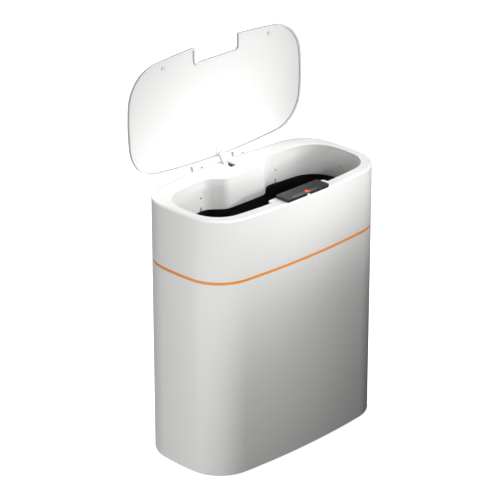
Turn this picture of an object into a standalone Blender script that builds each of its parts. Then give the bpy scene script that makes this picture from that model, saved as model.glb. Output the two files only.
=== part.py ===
"""Sensor bin with a motor-driven lid, at its real size in metres.

It stands on z = 0 with its front towards -Y, and it is shown with the lid open.
The lid and its lift linkage are shaped as they lie when closed, on empties that turn them open.
"""

import math

import bmesh
import bpy
from mathutils import Vector

# Clearances and overlaps shared by all pieces
SEAT_GAP = 0.0003
SHAFT_GAP = 0.0001
SLIDE_GAP = 0.00035
OVERRUN = 0.0020
SINK = 0.0005

# Body seen from above: four wide bows joined by four corner arcs
BODY_HALF_LENGTH = 0.1563
BODY_HALF_DEPTH = 0.0820
CORNER_RADIUS = 0.0527
END_BOW_RADIUS = 0.3076
SIDE_BOW_RADIUS = 1.0710

# Outer bucket
FOOT_PROUD = 0.0010
BUCKET_WALL = 0.0022
BUCKET_FLOOR = 0.0030
BASE_ROUND = 0.0025
SEAM_HEIGHT = 0.2733

# Rubber feet
FOOT_RADIUS = 0.0080
FOOT_SUNK = 0.0009
FOOT_END_INSET = 0.0483
FOOT_SIDE_INSET = 0.0380

# Seat ring between bucket and head
RING_BAND = 0.0030
RING_RECESS = 0.0002
COLLAR_WALL = 0.0018
COLLAR_DROP = 0.0110
COLLAR_RISE = 0.0080

# Inner bucket
INNER_TOP_INSET = 0.0078
INNER_BOTTOM_INSET = 0.0135
INNER_WALL = 0.0016
INNER_LIP = 0.0030
INNER_LIP_THICKNESS = 0.0022
INNER_ROUND = 0.0060
INNER_HEADROOM = 0.0030

# Head shell
HEAD_HEIGHT = 0.0834
HEAD_WALL = 0.0022
RIM_THICKNESS = 0.0025
RIM_ROUND = 0.0030
END_RIM_WIDTH = 0.0135
FRONT_RIM_WIDTH = 0.0149
REAR_RIM_WIDTH = 0.0308
MOUTH_CORNER_RADIUS = 0.0406
MOUTH_CORNER_MOST_SHARE = 0.7

# Bulge of the skirt into the mouth, which makes room for the drive
BULGE_DEPTH = 0.0207
BULGE_BASE_HALF = 0.0555
BULGE_FRONT_HALF = 0.0340
BULGE_BASE_ROUND = 0.0200
BULGE_FRONT_ROUND = 0.0180

# Inner skirt and its clip marks
SKIRT_WALL = 0.0020
SKIRT_DEPTH = 0.0430
CLIP_END_ROOM = 0.0708
CLIP_BULGE_ROOM = 0.0089
END_CLIP_SHIFT = 0.0052
CLIP_HOLE_RADIUS = 0.0008
CLIP_HOLE_DROP = 0.0245
CLIP_SLOT_WIDTH = 0.0013
CLIP_SLOT_HEIGHT = 0.0050

# Tongue of the rim that carries the sensor housing
TONGUE_HALF_LENGTH = 0.0510
TONGUE_REACH = 0.0098
TONGUE_ROUND = 0.0050

# Drive tray under the rear of the head
TRAY_THICKNESS = 0.0020
TRAY_END_ROOM = 0.0238
BOSS_RADIUS = 0.0032
BOSS_WALL_GAP = 0.0005
INNER_BOSS_INSET = 0.0080
OUTER_BOSS_INSET = 0.0050
SCREW_RADIUS = 0.0014
SCREW_LENGTH = 0.0140
SCREW_HEAD_RADIUS = 0.0026
SCREW_HEAD_HEIGHT = 0.0016

# Lid
LID_SIDE_INSET = 0.0007
LID_FRONT_INSET = 0.0021
LID_REAR_INSET = 0.0003
LID_THICKNESS = 0.0047
LID_EDGE_ROUND = 0.0012
LID_LIP = 0.0032
LID_SKIN = 0.0015
LID_DISH = 0.0019
NOTCH_DEPTH = 0.0220
NOTCH_INNER_ROUND = 0.0045
NOTCH_OUTER_ROUND = 0.0020
NOTCH_LEAST_ROUND = 0.0002
LID_OPEN_DEGREES = 90.6
PAD_RADIUS = 0.0030
PAD_END_INSET = 0.0606
PAD_FRONT_INSET = 0.0105

# Hinge along the rear edge of the rim
HINGE_BEHIND = 0.0019
HINGE_ABOVE = 0.0028
PIN_RADIUS = 0.0012
EAR_RADIUS = 0.0034
EAR_WIDTH = 0.0040
EAR_FOOT_DROP = 0.0110
EAR_FOOT_SINK = 0.0018
KNUCKLE_RADIUS = 0.0032
KNUCKLE_WIDTH = 0.0120
KNUCKLE_GAP = 0.0004
HINGE_X = 0.0370
LID_NOTCH_GAP = 0.0009

# Lift linkage: lug, rod and crank make a parallelogram with the hinge
LIFT_RADIUS = 0.0090
LIFT_CLOSED_DEGREES = 215.0
LINK_EYE_RADIUS = 0.0026
LINK_WIDTH = 0.0052
LUG_WIDTH = 0.0030
LUG_BASE_THICKNESS = 0.0010
LUG_BASE_LENGTH = 0.0160
LUG_BASE_DEPTH = 0.0110
LUG_FOOT_HALF = 0.0024
CRANK_HUB_RADIUS = 0.0032
LIFT_SLOT_GAP = 0.0008

# Gear train, in the YZ plane behind the bulge
CRANK_BEHIND_MOUTH = 0.0128
CRANK_BELOW_RIM = 0.0240
GEAR_MODULE = 0.0005
PINION_TEETH = 10
WHEEL_TEETH = 34
OUTPUT_TEETH = 44
PRESSURE_DEGREES = 25.0
ADDENDUM_SHARE = 0.8
DEDENDUM_SHARE = 1.05
TOOTH_BACKLASH = 0.00014
STAGE_TWO_DEGREES = 163.0
STAGE_ONE_DEGREES = 227.0
MOTOR_DEGREES = 106.0
WHEEL_WIDTH = 0.0030
OUTPUT_WIDTH = 0.0040
LAYER_GAP = 0.0004
AXLE_RADIUS = 0.00075
HUB_RADIUS = 0.0016
OUTPUT_SHAFT_RADIUS = 0.0015
OUTPUT_HUB_RADIUS = 0.0030
PLATE_THICKNESS = 0.0015
PLATE_MARGIN = 0.0010
PLATE_REAR_ROOM = 0.0040
PLATE_ROUND = 0.0030
PLATE_HEADROOM = 0.0030
POST_RADIUS = 0.0020

# Drive motor
MOTOR_RADIUS = 0.01005
MOTOR_HALF_WIDTH = 0.00755
MOTOR_LENGTH = 0.0250
MOTOR_BOSS_RADIUS = 0.0030
MOTOR_BOSS_LENGTH = 0.0014
MOTOR_SHAFT_RADIUS = 0.0010
MOTOR_CAP_LENGTH = 0.0021
MOTOR_CAP_INSET = 0.0006
MOTOR_BORE_DEPTH = 0.0120

# Sensor housing on the front of the rim
SENSOR_HALF_LENGTH = 0.0376
SENSOR_DEPTH = 0.0220
SENSOR_FRONT_INSET = 0.0005
SENSOR_HEIGHT = 0.0046
SENSOR_CORNER = 0.0018
SENSOR_WALL = 0.0009
SENSOR_BASE_THICKNESS = 0.0010
SENSOR_EDGE_ROUND = 0.0006
SENSOR_LID_GAP = 0.0008
WINDOW_HALF_LENGTH = 0.0260
WINDOW_WIDTH = 0.0074
WINDOW_THICKNESS = 0.0007
WINDOW_FRONT_INSET = 0.0013
BOARD_THICKNESS = 0.0008
LAMP_RADIUS = 0.0020
LAMP_FRONT_INSET = 0.0041
DIODE_LENGTH = 0.0040
DIODE_WIDTH = 0.0030
DIODE_X = 0.0150
KEY_HALF_WIDTH = 0.0024
KEY_HEIGHT = 0.0023
KEY_DEPTH = 0.0005

# Battery box and cells behind the right of the skirt
BATTERY_END_SHARE = 0.1125
CELL_RADIUS = 0.0071
CELL_LENGTH = 0.0492
NUB_RADIUS = 0.0027
NUB_LENGTH = 0.0013
CELL_SPACING = 0.0149
BOX_WALL = 0.0012
CONTACT_THICKNESS = 0.0004
CONTACT_ROOM = 0.0020
BATTERY_WALL_GAP = 0.0022
DOOR_MARGIN = 0.0015
DOOR_RIB = 0.0016
DOOR_RIB_INSET = 0.0040
DOOR_GRIP_RADIUS = 0.0040
DOOR_GRIP_DEPTH = 0.0020

# Control board and power switch behind the left of the skirt
CONTROL_END_ROOM = 0.0190
CONTROL_LENGTH = 0.0440
CONTROL_HEIGHT = 0.0300
CONTROL_THICKNESS = 0.0016
CONTROL_WALL_ROOM = 0.0092
CHIP_SIZE = 0.0090
CHIP_HEIGHT = 0.0018
CAPACITOR_RADIUS = 0.0030
CAPACITOR_HEIGHT = 0.0090
SWITCH_INSET = 0.0120
SWITCH_HEIGHT_ABOVE_TRAY = 0.0170
SWITCH_LENGTH = 0.0160
SWITCH_HEIGHT = 0.0090
SLIDER_LENGTH = 0.0055
SLIDER_HEIGHT = 0.0050
SLIDER_TRAVEL = 0.0050
SLIDER_PROUD = 0.0008

# Leads held inside the head
SENSOR_LEAD_RADIUS = 0.0010
POWER_LEAD_RADIUS = 0.0008
SENSOR_LEAD_DROP = 0.0100
SENSOR_LEAD_X = 0.0280
SENSOR_LEAD_FRONT_INSET = 0.0100
LEAD_HOLE_GAP = 0.0006
LEAD_WALL_GAP = 0.0008
LEAD_END_GAP = 0.0006

# Smoothness
END_BOW_SEGMENTS = 2
CORNER_SEGMENTS = 8
SIDE_BOW_SEGMENTS = 5
ROUND_SEGMENTS = 3
FILLET_SEGMENTS = 4
SMALL_CIRCLE = 16
AXLE_CIRCLE = 12
LARGE_CIRCLE = 28
SMOOTH_DEGREES = 32.0

# Heights that follow from the sizes above
BUCKET_TOP = SEAM_HEIGHT - SEAT_GAP
RING_TOP = SEAM_HEIGHT + RING_BAND
HEAD_BOTTOM = RING_TOP + SEAT_GAP
RIM_TOP = HEAD_BOTTOM + HEAD_HEIGHT
CEILING = RIM_TOP - RIM_THICKNESS
SKIRT_BOTTOM = RIM_TOP - SKIRT_DEPTH
SKIRT_TOP = CEILING - SEAT_GAP
TRAY_TOP = SKIRT_BOTTOM + TRAY_THICKNESS
TRAY_SEAT = TRAY_TOP + SEAT_GAP
FLOOR_TOP = FOOT_PROUD + BUCKET_FLOOR
INNER_TOP = SKIRT_BOTTOM - INNER_HEADROOM

# Mouth of the head, seen from above
MOUTH_HALF_LENGTH = BODY_HALF_LENGTH - END_RIM_WIDTH
MOUTH_FRONT = -BODY_HALF_DEPTH + FRONT_RIM_WIDTH
MOUTH_REAR = BODY_HALF_DEPTH - REAR_RIM_WIDTH
MOUTH_CENTRE = (MOUTH_FRONT + MOUTH_REAR) / 2
MOUTH_HALF_DEPTH = (MOUTH_REAR - MOUTH_FRONT) / 2
MOUTH_END_BOW = END_BOW_RADIUS - END_RIM_WIDTH
MOUTH_SIDE_BOW = SIDE_BOW_RADIUS - FRONT_RIM_WIDTH
MOUTH_CORNER = min(MOUTH_CORNER_RADIUS, MOUTH_CORNER_MOST_SHARE * MOUTH_HALF_DEPTH)
BULGE_FRONT = MOUTH_REAR - BULGE_DEPTH
CLIP_LEFT_X = -BULGE_BASE_HALF - CLIP_BULGE_ROOM
CLIP_RIGHT_X = MOUTH_HALF_LENGTH - CLIP_END_ROOM

# Places along the tray, worked out from its ends
TRAY_HALF_LENGTH = MOUTH_HALF_LENGTH - TRAY_END_ROOM
INNER_BOSS_X = BULGE_FRONT_HALF - INNER_BOSS_INSET
INNER_BOSS_Y = BULGE_FRONT + SKIRT_WALL + SEAT_GAP + BOSS_RADIUS + BOSS_WALL_GAP
OUTER_BOSS_X = TRAY_HALF_LENGTH - OUTER_BOSS_INSET
CONTROL_HIGH_X = TRAY_HALF_LENGTH - CONTROL_END_ROOM
CONTROL_LOW_X = CONTROL_HIGH_X - CONTROL_LENGTH
SWITCH_X = CONTROL_LOW_X + SWITCH_INSET

# Lid and hinge
LID_BOTTOM = RIM_TOP + SEAT_GAP
LID_TOP = LID_BOTTOM + LID_THICKNESS
LID_HALF_LENGTH = BODY_HALF_LENGTH - LID_SIDE_INSET
LID_HALF_DEPTH = BODY_HALF_DEPTH - (LID_FRONT_INSET + LID_REAR_INSET) / 2
LID_CENTRE = (LID_FRONT_INSET - LID_REAR_INSET) / 2
LID_FRONT = LID_CENTRE - LID_HALF_DEPTH
LID_REAR = LID_CENTRE + LID_HALF_DEPTH
PAD_X = LID_HALF_LENGTH - PAD_END_INSET
PANEL_BOTTOM = LID_BOTTOM + LID_DISH
PANEL_TOP = LID_TOP - LID_SKIN - SEAT_GAP
HINGE_Y = BODY_HALF_DEPTH + HINGE_BEHIND
HINGE_Z = RIM_TOP + HINGE_ABOVE
LID_TURN = math.radians(-LID_OPEN_DEGREES)

# Sensor housing
SENSOR_FRONT = -BODY_HALF_DEPTH + SENSOR_FRONT_INSET
SENSOR_REAR = SENSOR_FRONT + SENSOR_DEPTH
SENSOR_BOTTOM = RIM_TOP + SEAT_GAP
SENSOR_TOP = SENSOR_BOTTOM + SENSOR_HEIGHT
SENSOR_CEILING = SENSOR_TOP - SENSOR_WALL
BOARD_BOTTOM = SENSOR_BOTTOM + SENSOR_BASE_THICKNESS + SEAT_GAP
BOARD_TOP = BOARD_BOTTOM + BOARD_THICKNESS

# Gear layers along X, from the rod outwards
ROD_HALF_WIDTH = LINK_WIDTH / 2
LUG_LOW = ROD_HALF_WIDTH + LAYER_GAP
LUG_HIGH = LUG_LOW + LUG_WIDTH
INNER_PLATE_LOW = LUG_HIGH + LAYER_GAP
INNER_PLATE_HIGH = INNER_PLATE_LOW + PLATE_THICKNESS
FIRST_LAYER_LOW = INNER_PLATE_HIGH + LAYER_GAP
FIRST_LAYER_HIGH = FIRST_LAYER_LOW + WHEEL_WIDTH
SECOND_LAYER_LOW = FIRST_LAYER_HIGH + LAYER_GAP
SECOND_LAYER_HIGH = SECOND_LAYER_LOW + WHEEL_WIDTH
THIRD_LAYER_LOW = SECOND_LAYER_HIGH + LAYER_GAP
THIRD_LAYER_HIGH = THIRD_LAYER_LOW + OUTPUT_WIDTH
OUTER_PLATE_LOW = THIRD_LAYER_HIGH + LAYER_GAP
OUTER_PLATE_HIGH = OUTER_PLATE_LOW + PLATE_THICKNESS
MOTOR_FRONT = INNER_PLATE_LOW - SEAT_GAP
MOTOR_BACK = MOTOR_FRONT - MOTOR_LENGTH

# The battery box, in the room between the gear plates and the outer screw boss
CAVITY_LENGTH = CELL_LENGTH + NUB_LENGTH + 2 * CONTACT_ROOM
BATTERY_ROOM = OUTER_BOSS_X - BOSS_RADIUS - OUTER_PLATE_HIGH - CAVITY_LENGTH - 2 * BOX_WALL
CAVITY_HIGH_X = OUTER_BOSS_X - BOSS_RADIUS - BATTERY_END_SHARE * BATTERY_ROOM - BOX_WALL
CAVITY_LOW_X = CAVITY_HIGH_X - CAVITY_LENGTH

COLOURS = {
    "white shell": ((0.80, 0.80, 0.79), 0.42, 0.0),
    "white lid": ((0.84, 0.84, 0.83), 0.38, 0.0),
    "orange ring": ((0.85, 0.27, 0.04), 0.45, 0.0),
    "black bucket": ((0.012, 0.012, 0.012), 0.60, 0.0),
    "smoke cover": ((0.075, 0.075, 0.075), 0.35, 0.0),
    "smoke window": ((0.14, 0.14, 0.14), 0.20, 0.0),
    "red lamp": ((0.90, 0.06, 0.05), 0.25, 0.0),
    "steel": ((0.62, 0.62, 0.63), 0.30, 1.0),
    "nylon": ((0.78, 0.77, 0.72), 0.50, 0.0),
    "board": ((0.05, 0.22, 0.10), 0.50, 0.0),
    "nickel": ((0.72, 0.69, 0.62), 0.28, 1.0),
    "cell": ((0.10, 0.10, 0.11), 0.35, 0.2),
    "rubber": ((0.14, 0.14, 0.14), 0.80, 0.0),
    "silicone": ((0.76, 0.76, 0.75), 0.40, 0.0),
    "lead": ((0.03, 0.03, 0.03), 0.55, 0.0),
}


def clear_scene():
    for item in list(bpy.data.objects):
        bpy.data.objects.remove(item, do_unlink=True)


def material(name):
    """The named material, made the first time it is asked for."""
    found = bpy.data.materials.get(name)
    if found:
        return found
    colour, roughness, metallic = COLOURS[name]
    made = bpy.data.materials.new(name)
    made.use_nodes = True
    shader = made.node_tree.nodes["Principled BSDF"]
    shader.inputs["Base Color"].default_value = (*colour, 1.0)
    shader.inputs["Roughness"].default_value = roughness
    shader.inputs["Metallic"].default_value = metallic
    made.diffuse_color = (*colour, 1.0)
    return made


# Outlines in a plane, counterclockwise


def arc(centre, radius, start, end, segments):
    """Points along an arc, both ends included. Angles are in radians."""
    step = (end - start) / segments
    angles = [start + step * i for i in range(segments + 1)]
    return [centre + radius * Vector((math.cos(a), math.sin(a))) for a in angles]


def circle(centre, radius, segments=SMALL_CIRCLE):
    return arc(Vector(centre), radius, 0, 2 * math.pi, segments)[:-1]


def rectangle(low_u, high_u, low_v, high_v):
    return [Vector(p) for p in ((low_u, low_v), (high_u, low_v), (high_u, high_v), (low_u, high_v))]


def bowed_outline(half_length, half_depth, end_bow, side_bow, corner, centre_y=0.0):
    """A rectangle with bowed sides, whose corner arcs run smoothly into the bows."""
    end_centre = Vector((half_length - end_bow, 0))
    side_centre = Vector((0, half_depth - side_bow))
    end_reach = end_bow - corner
    span = side_centre - end_centre
    along = (span.length_squared - (side_bow - corner) ** 2 + end_reach**2) / (2 * span.length)
    across = math.sqrt(end_reach**2 - along**2)
    direction = span.normalized()
    foot = end_centre + direction * along
    side = Vector((-direction.y, direction.x)) * across
    middle = max((foot + side, foot - side), key=lambda p: p.x + p.y)
    first = math.atan2(*(middle - end_centre).yx)
    second = math.atan2(*(middle - side_centre).yx)
    quarter = arc(end_centre, end_bow, 0, first, END_BOW_SEGMENTS)
    quarter += arc(middle, corner, first, second, CORNER_SEGMENTS)[1:]
    quarter += arc(side_centre, side_bow, second, math.pi / 2, SIDE_BOW_SEGMENTS)[1:]
    upper = quarter + [Vector((-p.x, p.y)) for p in reversed(quarter[:-1])]
    lower = [-p for p in upper[1:-1]]
    return [p + Vector((0, centre_y)) for p in upper + lower]


def inset(points, distance):
    """A closed outline moved inwards by distance, square to each of its sides."""
    moved = []
    for i, point in enumerate(points):
        before = (point - points[i - 1]).normalized()
        after = (points[(i + 1) % len(points)] - point).normalized()
        inward = Vector((-before.y - after.y, before.x + after.x))
        moved.append(point + inward * (distance / (1 + before.dot(after))))
    return moved


def rounded(points, radii, closed=True):
    """The outline with a fillet at each point. An open path keeps its two end points."""
    result = []
    for i, point in enumerate(points):
        if radii[i] == 0 or (not closed and i in (0, len(points) - 1)):
            result.append(point)
            continue
        back = (points[i - 1] - point).normalized()
        ahead = (points[(i + 1) % len(points)] - point).normalized()
        half = math.acos(max(-1, min(1, back.dot(ahead)))) / 2
        middle = point + (back + ahead).normalized() * (radii[i] / math.sin(half))
        start = point + back * (radii[i] / math.tan(half)) - middle
        end = point + ahead * (radii[i] / math.tan(half)) - middle
        sweep = math.atan2(start.x * end.y - start.y * end.x, start.dot(end))
        first = math.atan2(start.y, start.x)
        result += arc(middle, radii[i], first, first + sweep, FILLET_SEGMENTS)
    return result


def rounded_rectangle(low_u, high_u, low_v, high_v, radius):
    return rounded(rectangle(low_u, high_u, low_v, high_v), [radius] * 4)


def link_outline(first, first_radius, second, second_radius):
    """Two round ends joined by their outer tangents."""
    first, second = Vector(first), Vector(second)
    span = second - first
    heading = math.atan2(span.y, span.x)
    lean = math.acos((first_radius - second_radius) / span.length)
    half = SMALL_CIRCLE // 2
    near = arc(first, first_radius, heading + lean, heading - lean + 2 * math.pi, half)
    far = arc(second, second_radius, heading - lean, heading + lean, half)
    return near + far


def bow_depth(x, radius):
    """How far a bow has fallen back at a distance x from its middle."""
    return radius - math.sqrt(radius**2 - x**2)


def body_outline(distance=0.0):
    """The body's outline, moved inwards by distance."""
    outline = bowed_outline(
        BODY_HALF_LENGTH, BODY_HALF_DEPTH, END_BOW_RADIUS, SIDE_BOW_RADIUS, CORNER_RADIUS
    )
    return inset(outline, distance)


def crossings(outline, x):
    """The Y values at which an outline crosses x."""
    found = []
    for a, b in zip(outline, outline[1:] + outline[:1]):
        if (a.x - x) * (b.x - x) <= 0 and a.x != b.x:
            found.append(a.lerp(b, (x - a.x) / (b.x - a.x)).y)
    return found


def body_rear(x, distance=0.0):
    """The Y of the body's rear side at x, or of a face inside it by distance."""
    return max(crossings(body_outline(distance), x))


def mouth_rear(x, distance=0.0):
    """The Y of the mouth's rear side at x, or of a face inside it by distance."""
    return max(crossings(mouth_outline(distance), x))


def mouth_outline(distance=0.0):
    """The mouth's outline with the bulge let into its rear side, moved inwards by distance."""
    plain = bowed_outline(
        MOUTH_HALF_LENGTH,
        MOUTH_HALF_DEPTH,
        MOUTH_END_BOW,
        MOUTH_SIDE_BOW,
        MOUTH_CORNER,
        MOUTH_CENTRE,
    )
    base_y = MOUTH_REAR - bow_depth(BULGE_BASE_HALF, MOUTH_SIDE_BOW)
    lead_in = BULGE_BASE_HALF + BULGE_BASE_ROUND
    lead_y = MOUTH_REAR - bow_depth(lead_in, MOUTH_SIDE_BOW)
    corners = [
        Vector((lead_in, lead_y)),
        Vector((BULGE_BASE_HALF, base_y)),
        Vector((BULGE_FRONT_HALF, BULGE_FRONT)),
    ]
    corners += [Vector((-p.x, p.y)) for p in reversed(corners)]
    radii = [0, BULGE_BASE_ROUND, BULGE_FRONT_ROUND, BULGE_FRONT_ROUND, BULGE_BASE_ROUND, 0]
    bulge = rounded(corners, radii, closed=False)
    start = next(i for i, p in enumerate(plain) if p.y > MOUTH_REAR / 2 and p.x < lead_in)
    behind = [p for p in plain if p.y > MOUTH_REAR / 2 and abs(p.x) < lead_in]
    return inset(plain[:start] + bulge + plain[start + len(behind) :], distance)


def lid_outline(distance=0.0):
    """The lid's outline as it lies closed, with the notch for the sensor housing, from the hinge.

    Moved inwards by distance, the notch's convex corners end as nearly sharp ones.
    """
    bow = SIDE_BOW_RADIUS - LID_FRONT_INSET
    plain = bowed_outline(
        LID_HALF_LENGTH,
        LID_HALF_DEPTH,
        END_BOW_RADIUS - LID_SIDE_INSET,
        bow,
        CORNER_RADIUS - LID_SIDE_INSET,
        LID_CENTRE,
    )
    half = SENSOR_HALF_LENGTH + SENSOR_LID_GAP
    clear = half + LID_LIP + 3 * NOTCH_OUTER_ROUND
    start = next(i for i, p in enumerate(plain) if p.y < LID_FRONT / 2 and p.x > -clear)
    count = len([p for p in plain if p.y < LID_FRONT / 2 and abs(p.x) < clear])
    plain = inset(plain, distance)
    edge = LID_FRONT + bow_depth(half, bow) + distance
    corners = [
        Vector((-half - distance - 2 * NOTCH_OUTER_ROUND, edge)),
        Vector((-half - distance, edge)),
        Vector((-half - distance, LID_FRONT + NOTCH_DEPTH + distance)),
    ]
    corners += [Vector((-p.x, p.y)) for p in reversed(corners)]
    outer = max(NOTCH_OUTER_ROUND - distance, NOTCH_LEAST_ROUND)
    inner = NOTCH_INNER_ROUND + distance
    notch = rounded(corners, [0, outer, inner, inner, outer, 0], closed=False)
    whole = plain[:start] + notch + plain[start + count :]
    return [p - Vector((0, HINGE_Y)) for p in whole]


# Meshes


def lofted(name, loops, ring=False):
    """A mesh through successive loops of as many points, capped at both ends unless it is a ring."""
    size = len(loops[0])
    vertices = [p for loop in loops for p in loop]
    pairs = [(k, (k + 1) % len(loops)) for k in range(len(loops) if ring else len(loops) - 1)]
    faces = []
    for low, high in pairs:
        for i in range(size):
            j = (i + 1) % size
            faces.append((low * size + i, low * size + j, high * size + j, high * size + i))
    if not ring:
        faces.append(tuple(range(size)))
        faces.append(tuple(range(len(vertices) - size, len(vertices))))
    mesh = bpy.data.meshes.new(name)
    mesh.from_pydata(vertices, [], faces)
    work = bmesh.new()
    work.from_mesh(mesh)
    bmesh.ops.recalc_face_normals(work, faces=work.faces)
    work.to_mesh(mesh)
    work.free()
    return mesh


def on_plane(plane, point, height):
    """A point of a plane, moved along the plane's normal. The planes are XY, YZ and ZX."""
    if plane == "XY":
        return (point.x, point.y, height)
    if plane == "YZ":
        return (height, point.x, point.y)
    return (point.y, height, point.x)


def prism(outline, low, high, plane="XY"):
    return lofted("prism", [[on_plane(plane, p, h) for p in outline] for h in (low, high)])


def box(low_x, high_x, low_y, high_y, low_z, high_z):
    return prism(rectangle(low_x, high_x, low_y, high_y), low_z, high_z)


def rod(centre, radius, low, high, plane="YZ", segments=SMALL_CIRCLE):
    """A cylinder square to the plane, with its axis through centre."""
    return prism(circle(centre, radius, segments), low, high, plane)


def walls(outline_at, profile, ring=False):
    """A shell whose outline depends on the inset. Its profile is a list of insets and heights."""
    loops = []
    for distance, height in profile:
        loops.append([(p.x, p.y, height) for p in outline_at(distance)])
    return lofted("walls", loops, ring)


def outer_round(radius, level, rising=1):
    """Profile points of a rounded outer edge that ends at this level, going inwards."""
    quarter = [math.pi / 2 * i / ROUND_SEGMENTS for i in range(ROUND_SEGMENTS + 1)]
    return [
        (radius - radius * math.cos(a), level - rising * (radius - radius * math.sin(a)))
        for a in quarter
    ]


# Objects


def link_to_scene(item):
    bpy.context.scene.collection.objects.link(item)
    return item


def piece(name, mesh, colour, pivot=None):
    """A named sub-part. With a pivot, its mesh is in the pivot's own frame."""
    mesh.name = name
    mesh.materials.append(material(colour))
    mesh.shade_smooth()
    mesh.set_sharp_from_angle(angle=math.radians(SMOOTH_DEGREES))
    item = link_to_scene(bpy.data.objects.new(name, mesh))
    item.parent = pivot
    return item


def pivot_at(name, y, z, turn=0.0, x=0.0):
    """An empty on an axis along X. What hangs on it turns with it."""
    empty = link_to_scene(bpy.data.objects.new(name, None))
    empty.location = (x, y, z)
    empty.rotation_euler.x = turn
    return empty


def combine(item, mesh, operation, word):
    """Adds a Boolean with a helper that follows the piece."""
    helper = link_to_scene(bpy.data.objects.new(f"{item.name}_{word}", mesh))
    helper.parent = item
    helper.hide_render = True
    helper.display_type = "WIRE"
    modifier = item.modifiers.new(word, "BOOLEAN")
    modifier.operation = operation
    modifier.solver = "EXACT"
    modifier.object = helper


def join(item, *meshes):
    for mesh in meshes:
        combine(item, mesh, "UNION", "joined")


def cut(item, *meshes):
    for mesh in meshes:
        combine(item, mesh, "DIFFERENCE", "cut")


def keep(item, mesh):
    combine(item, mesh, "INTERSECT", "kept")


# Base of the bin


def make_outer_bucket():
    profile = list(reversed(outer_round(BASE_ROUND, FOOT_PROUD, rising=-1)))
    profile += [
        (0, BUCKET_TOP),
        (BUCKET_WALL, BUCKET_TOP),
        (BUCKET_WALL, FLOOR_TOP + BASE_ROUND),
        (BUCKET_WALL + BASE_ROUND, FLOOR_TOP),
    ]
    bucket = piece("outer_bucket", walls(body_outline, profile), "white shell")
    depth = FOOT_PROUD + FOOT_SUNK + SEAT_GAP
    for x, y in foot_places().values():
        cut(bucket, rod((x, y), FOOT_RADIUS + SEAT_GAP, -OVERRUN, depth, "XY", LARGE_CIRCLE))


def foot_places():
    x = BODY_HALF_LENGTH - FOOT_END_INSET
    y = BODY_HALF_DEPTH - FOOT_SIDE_INSET
    return {
        "foot_front_left": (-x, -y),
        "foot_front_right": (x, -y),
        "foot_rear_left": (-x, y),
        "foot_rear_right": (x, y),
    }


def make_feet():
    for name, (x, y) in foot_places().items():
        height = FOOT_PROUD + FOOT_SUNK
        piece(name, rod((x, y), FOOT_RADIUS, 0, height, "XY", LARGE_CIRCLE), "rubber")


def make_seat_ring():
    collar_outer = BUCKET_WALL + SEAT_GAP
    collar_inner = collar_outer + COLLAR_WALL
    profile = [
        (RING_RECESS, SEAM_HEIGHT),
        (RING_RECESS, RING_TOP),
        (collar_outer, RING_TOP),
        (collar_outer, RING_TOP + COLLAR_RISE),
        (collar_inner, RING_TOP + COLLAR_RISE),
        (collar_inner, SEAM_HEIGHT - COLLAR_DROP),
        (collar_outer, SEAM_HEIGHT - COLLAR_DROP),
        (collar_outer, SEAM_HEIGHT),
    ]
    piece("seat_ring", walls(body_outline, profile, ring=True), "orange ring")


def make_inner_bucket():
    bottom = FLOOR_TOP + SEAT_GAP
    lip_under = INNER_TOP - INNER_LIP_THICKNESS
    inner_floor = bottom + INNER_WALL
    profile = [
        (INNER_BOTTOM_INSET + INNER_ROUND, bottom),
        (INNER_BOTTOM_INSET, bottom + INNER_ROUND),
        (INNER_TOP_INSET, lip_under),
        (INNER_TOP_INSET - INNER_LIP, lip_under),
        (INNER_TOP_INSET - INNER_LIP, INNER_TOP),
        (INNER_TOP_INSET + INNER_WALL, INNER_TOP),
        (INNER_BOTTOM_INSET + INNER_WALL, inner_floor + INNER_ROUND),
        (INNER_BOTTOM_INSET + INNER_WALL + INNER_ROUND, inner_floor),
    ]
    piece("inner_bucket", walls(body_outline, profile), "black bucket")


# Head


def boss_places():
    """The tray's screws: two inside the bulge, and two halfway between the skirt and the wall."""
    skirt = mouth_rear(OUTER_BOSS_X, -SKIRT_WALL)
    outer_y = (skirt + body_rear(OUTER_BOSS_X, HEAD_WALL)) / 2
    return {
        "tray_screw_inner_left": (-INNER_BOSS_X, INNER_BOSS_Y),
        "tray_screw_inner_right": (INNER_BOSS_X, INNER_BOSS_Y),
        "tray_screw_outer_left": (-OUTER_BOSS_X, outer_y),
        "tray_screw_outer_right": (OUTER_BOSS_X, outer_y),
    }


def ear_spans():
    """The X ranges of the two hinge ears on each side of each knuckle."""
    near = KNUCKLE_WIDTH / 2 + KNUCKLE_GAP
    spans = []
    for side in (-HINGE_X, HINGE_X):
        spans.append((side - near - EAR_WIDTH, side - near))
        spans.append((side + near, side + near + EAR_WIDTH))
    return spans


def ear_outline():
    """A hinge ear from the side, in Y and Z: a round eye with a foot that runs down the rear wall."""
    wall_y = body_rear(HINGE_X) - EAR_FOOT_SINK / 2
    eye = arc(Vector((HINGE_Y, HINGE_Z)), EAR_RADIUS, math.radians(-30), math.radians(190), 10)
    foot = [
        Vector((wall_y, RIM_TOP - EAR_FOOT_SINK)),
        Vector((wall_y, RIM_TOP - EAR_FOOT_DROP)),
    ]
    return eye + foot


def tongue_outline():
    """The tongue under the sensor housing, rooted in the front rim."""
    root = MOUTH_FRONT - FRONT_RIM_WIDTH / 4
    tip = MOUTH_FRONT + TONGUE_REACH
    corners = rectangle(-TONGUE_HALF_LENGTH, TONGUE_HALF_LENGTH, root, tip)
    return rounded(corners, [0, 0, TONGUE_ROUND, TONGUE_ROUND])


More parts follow.
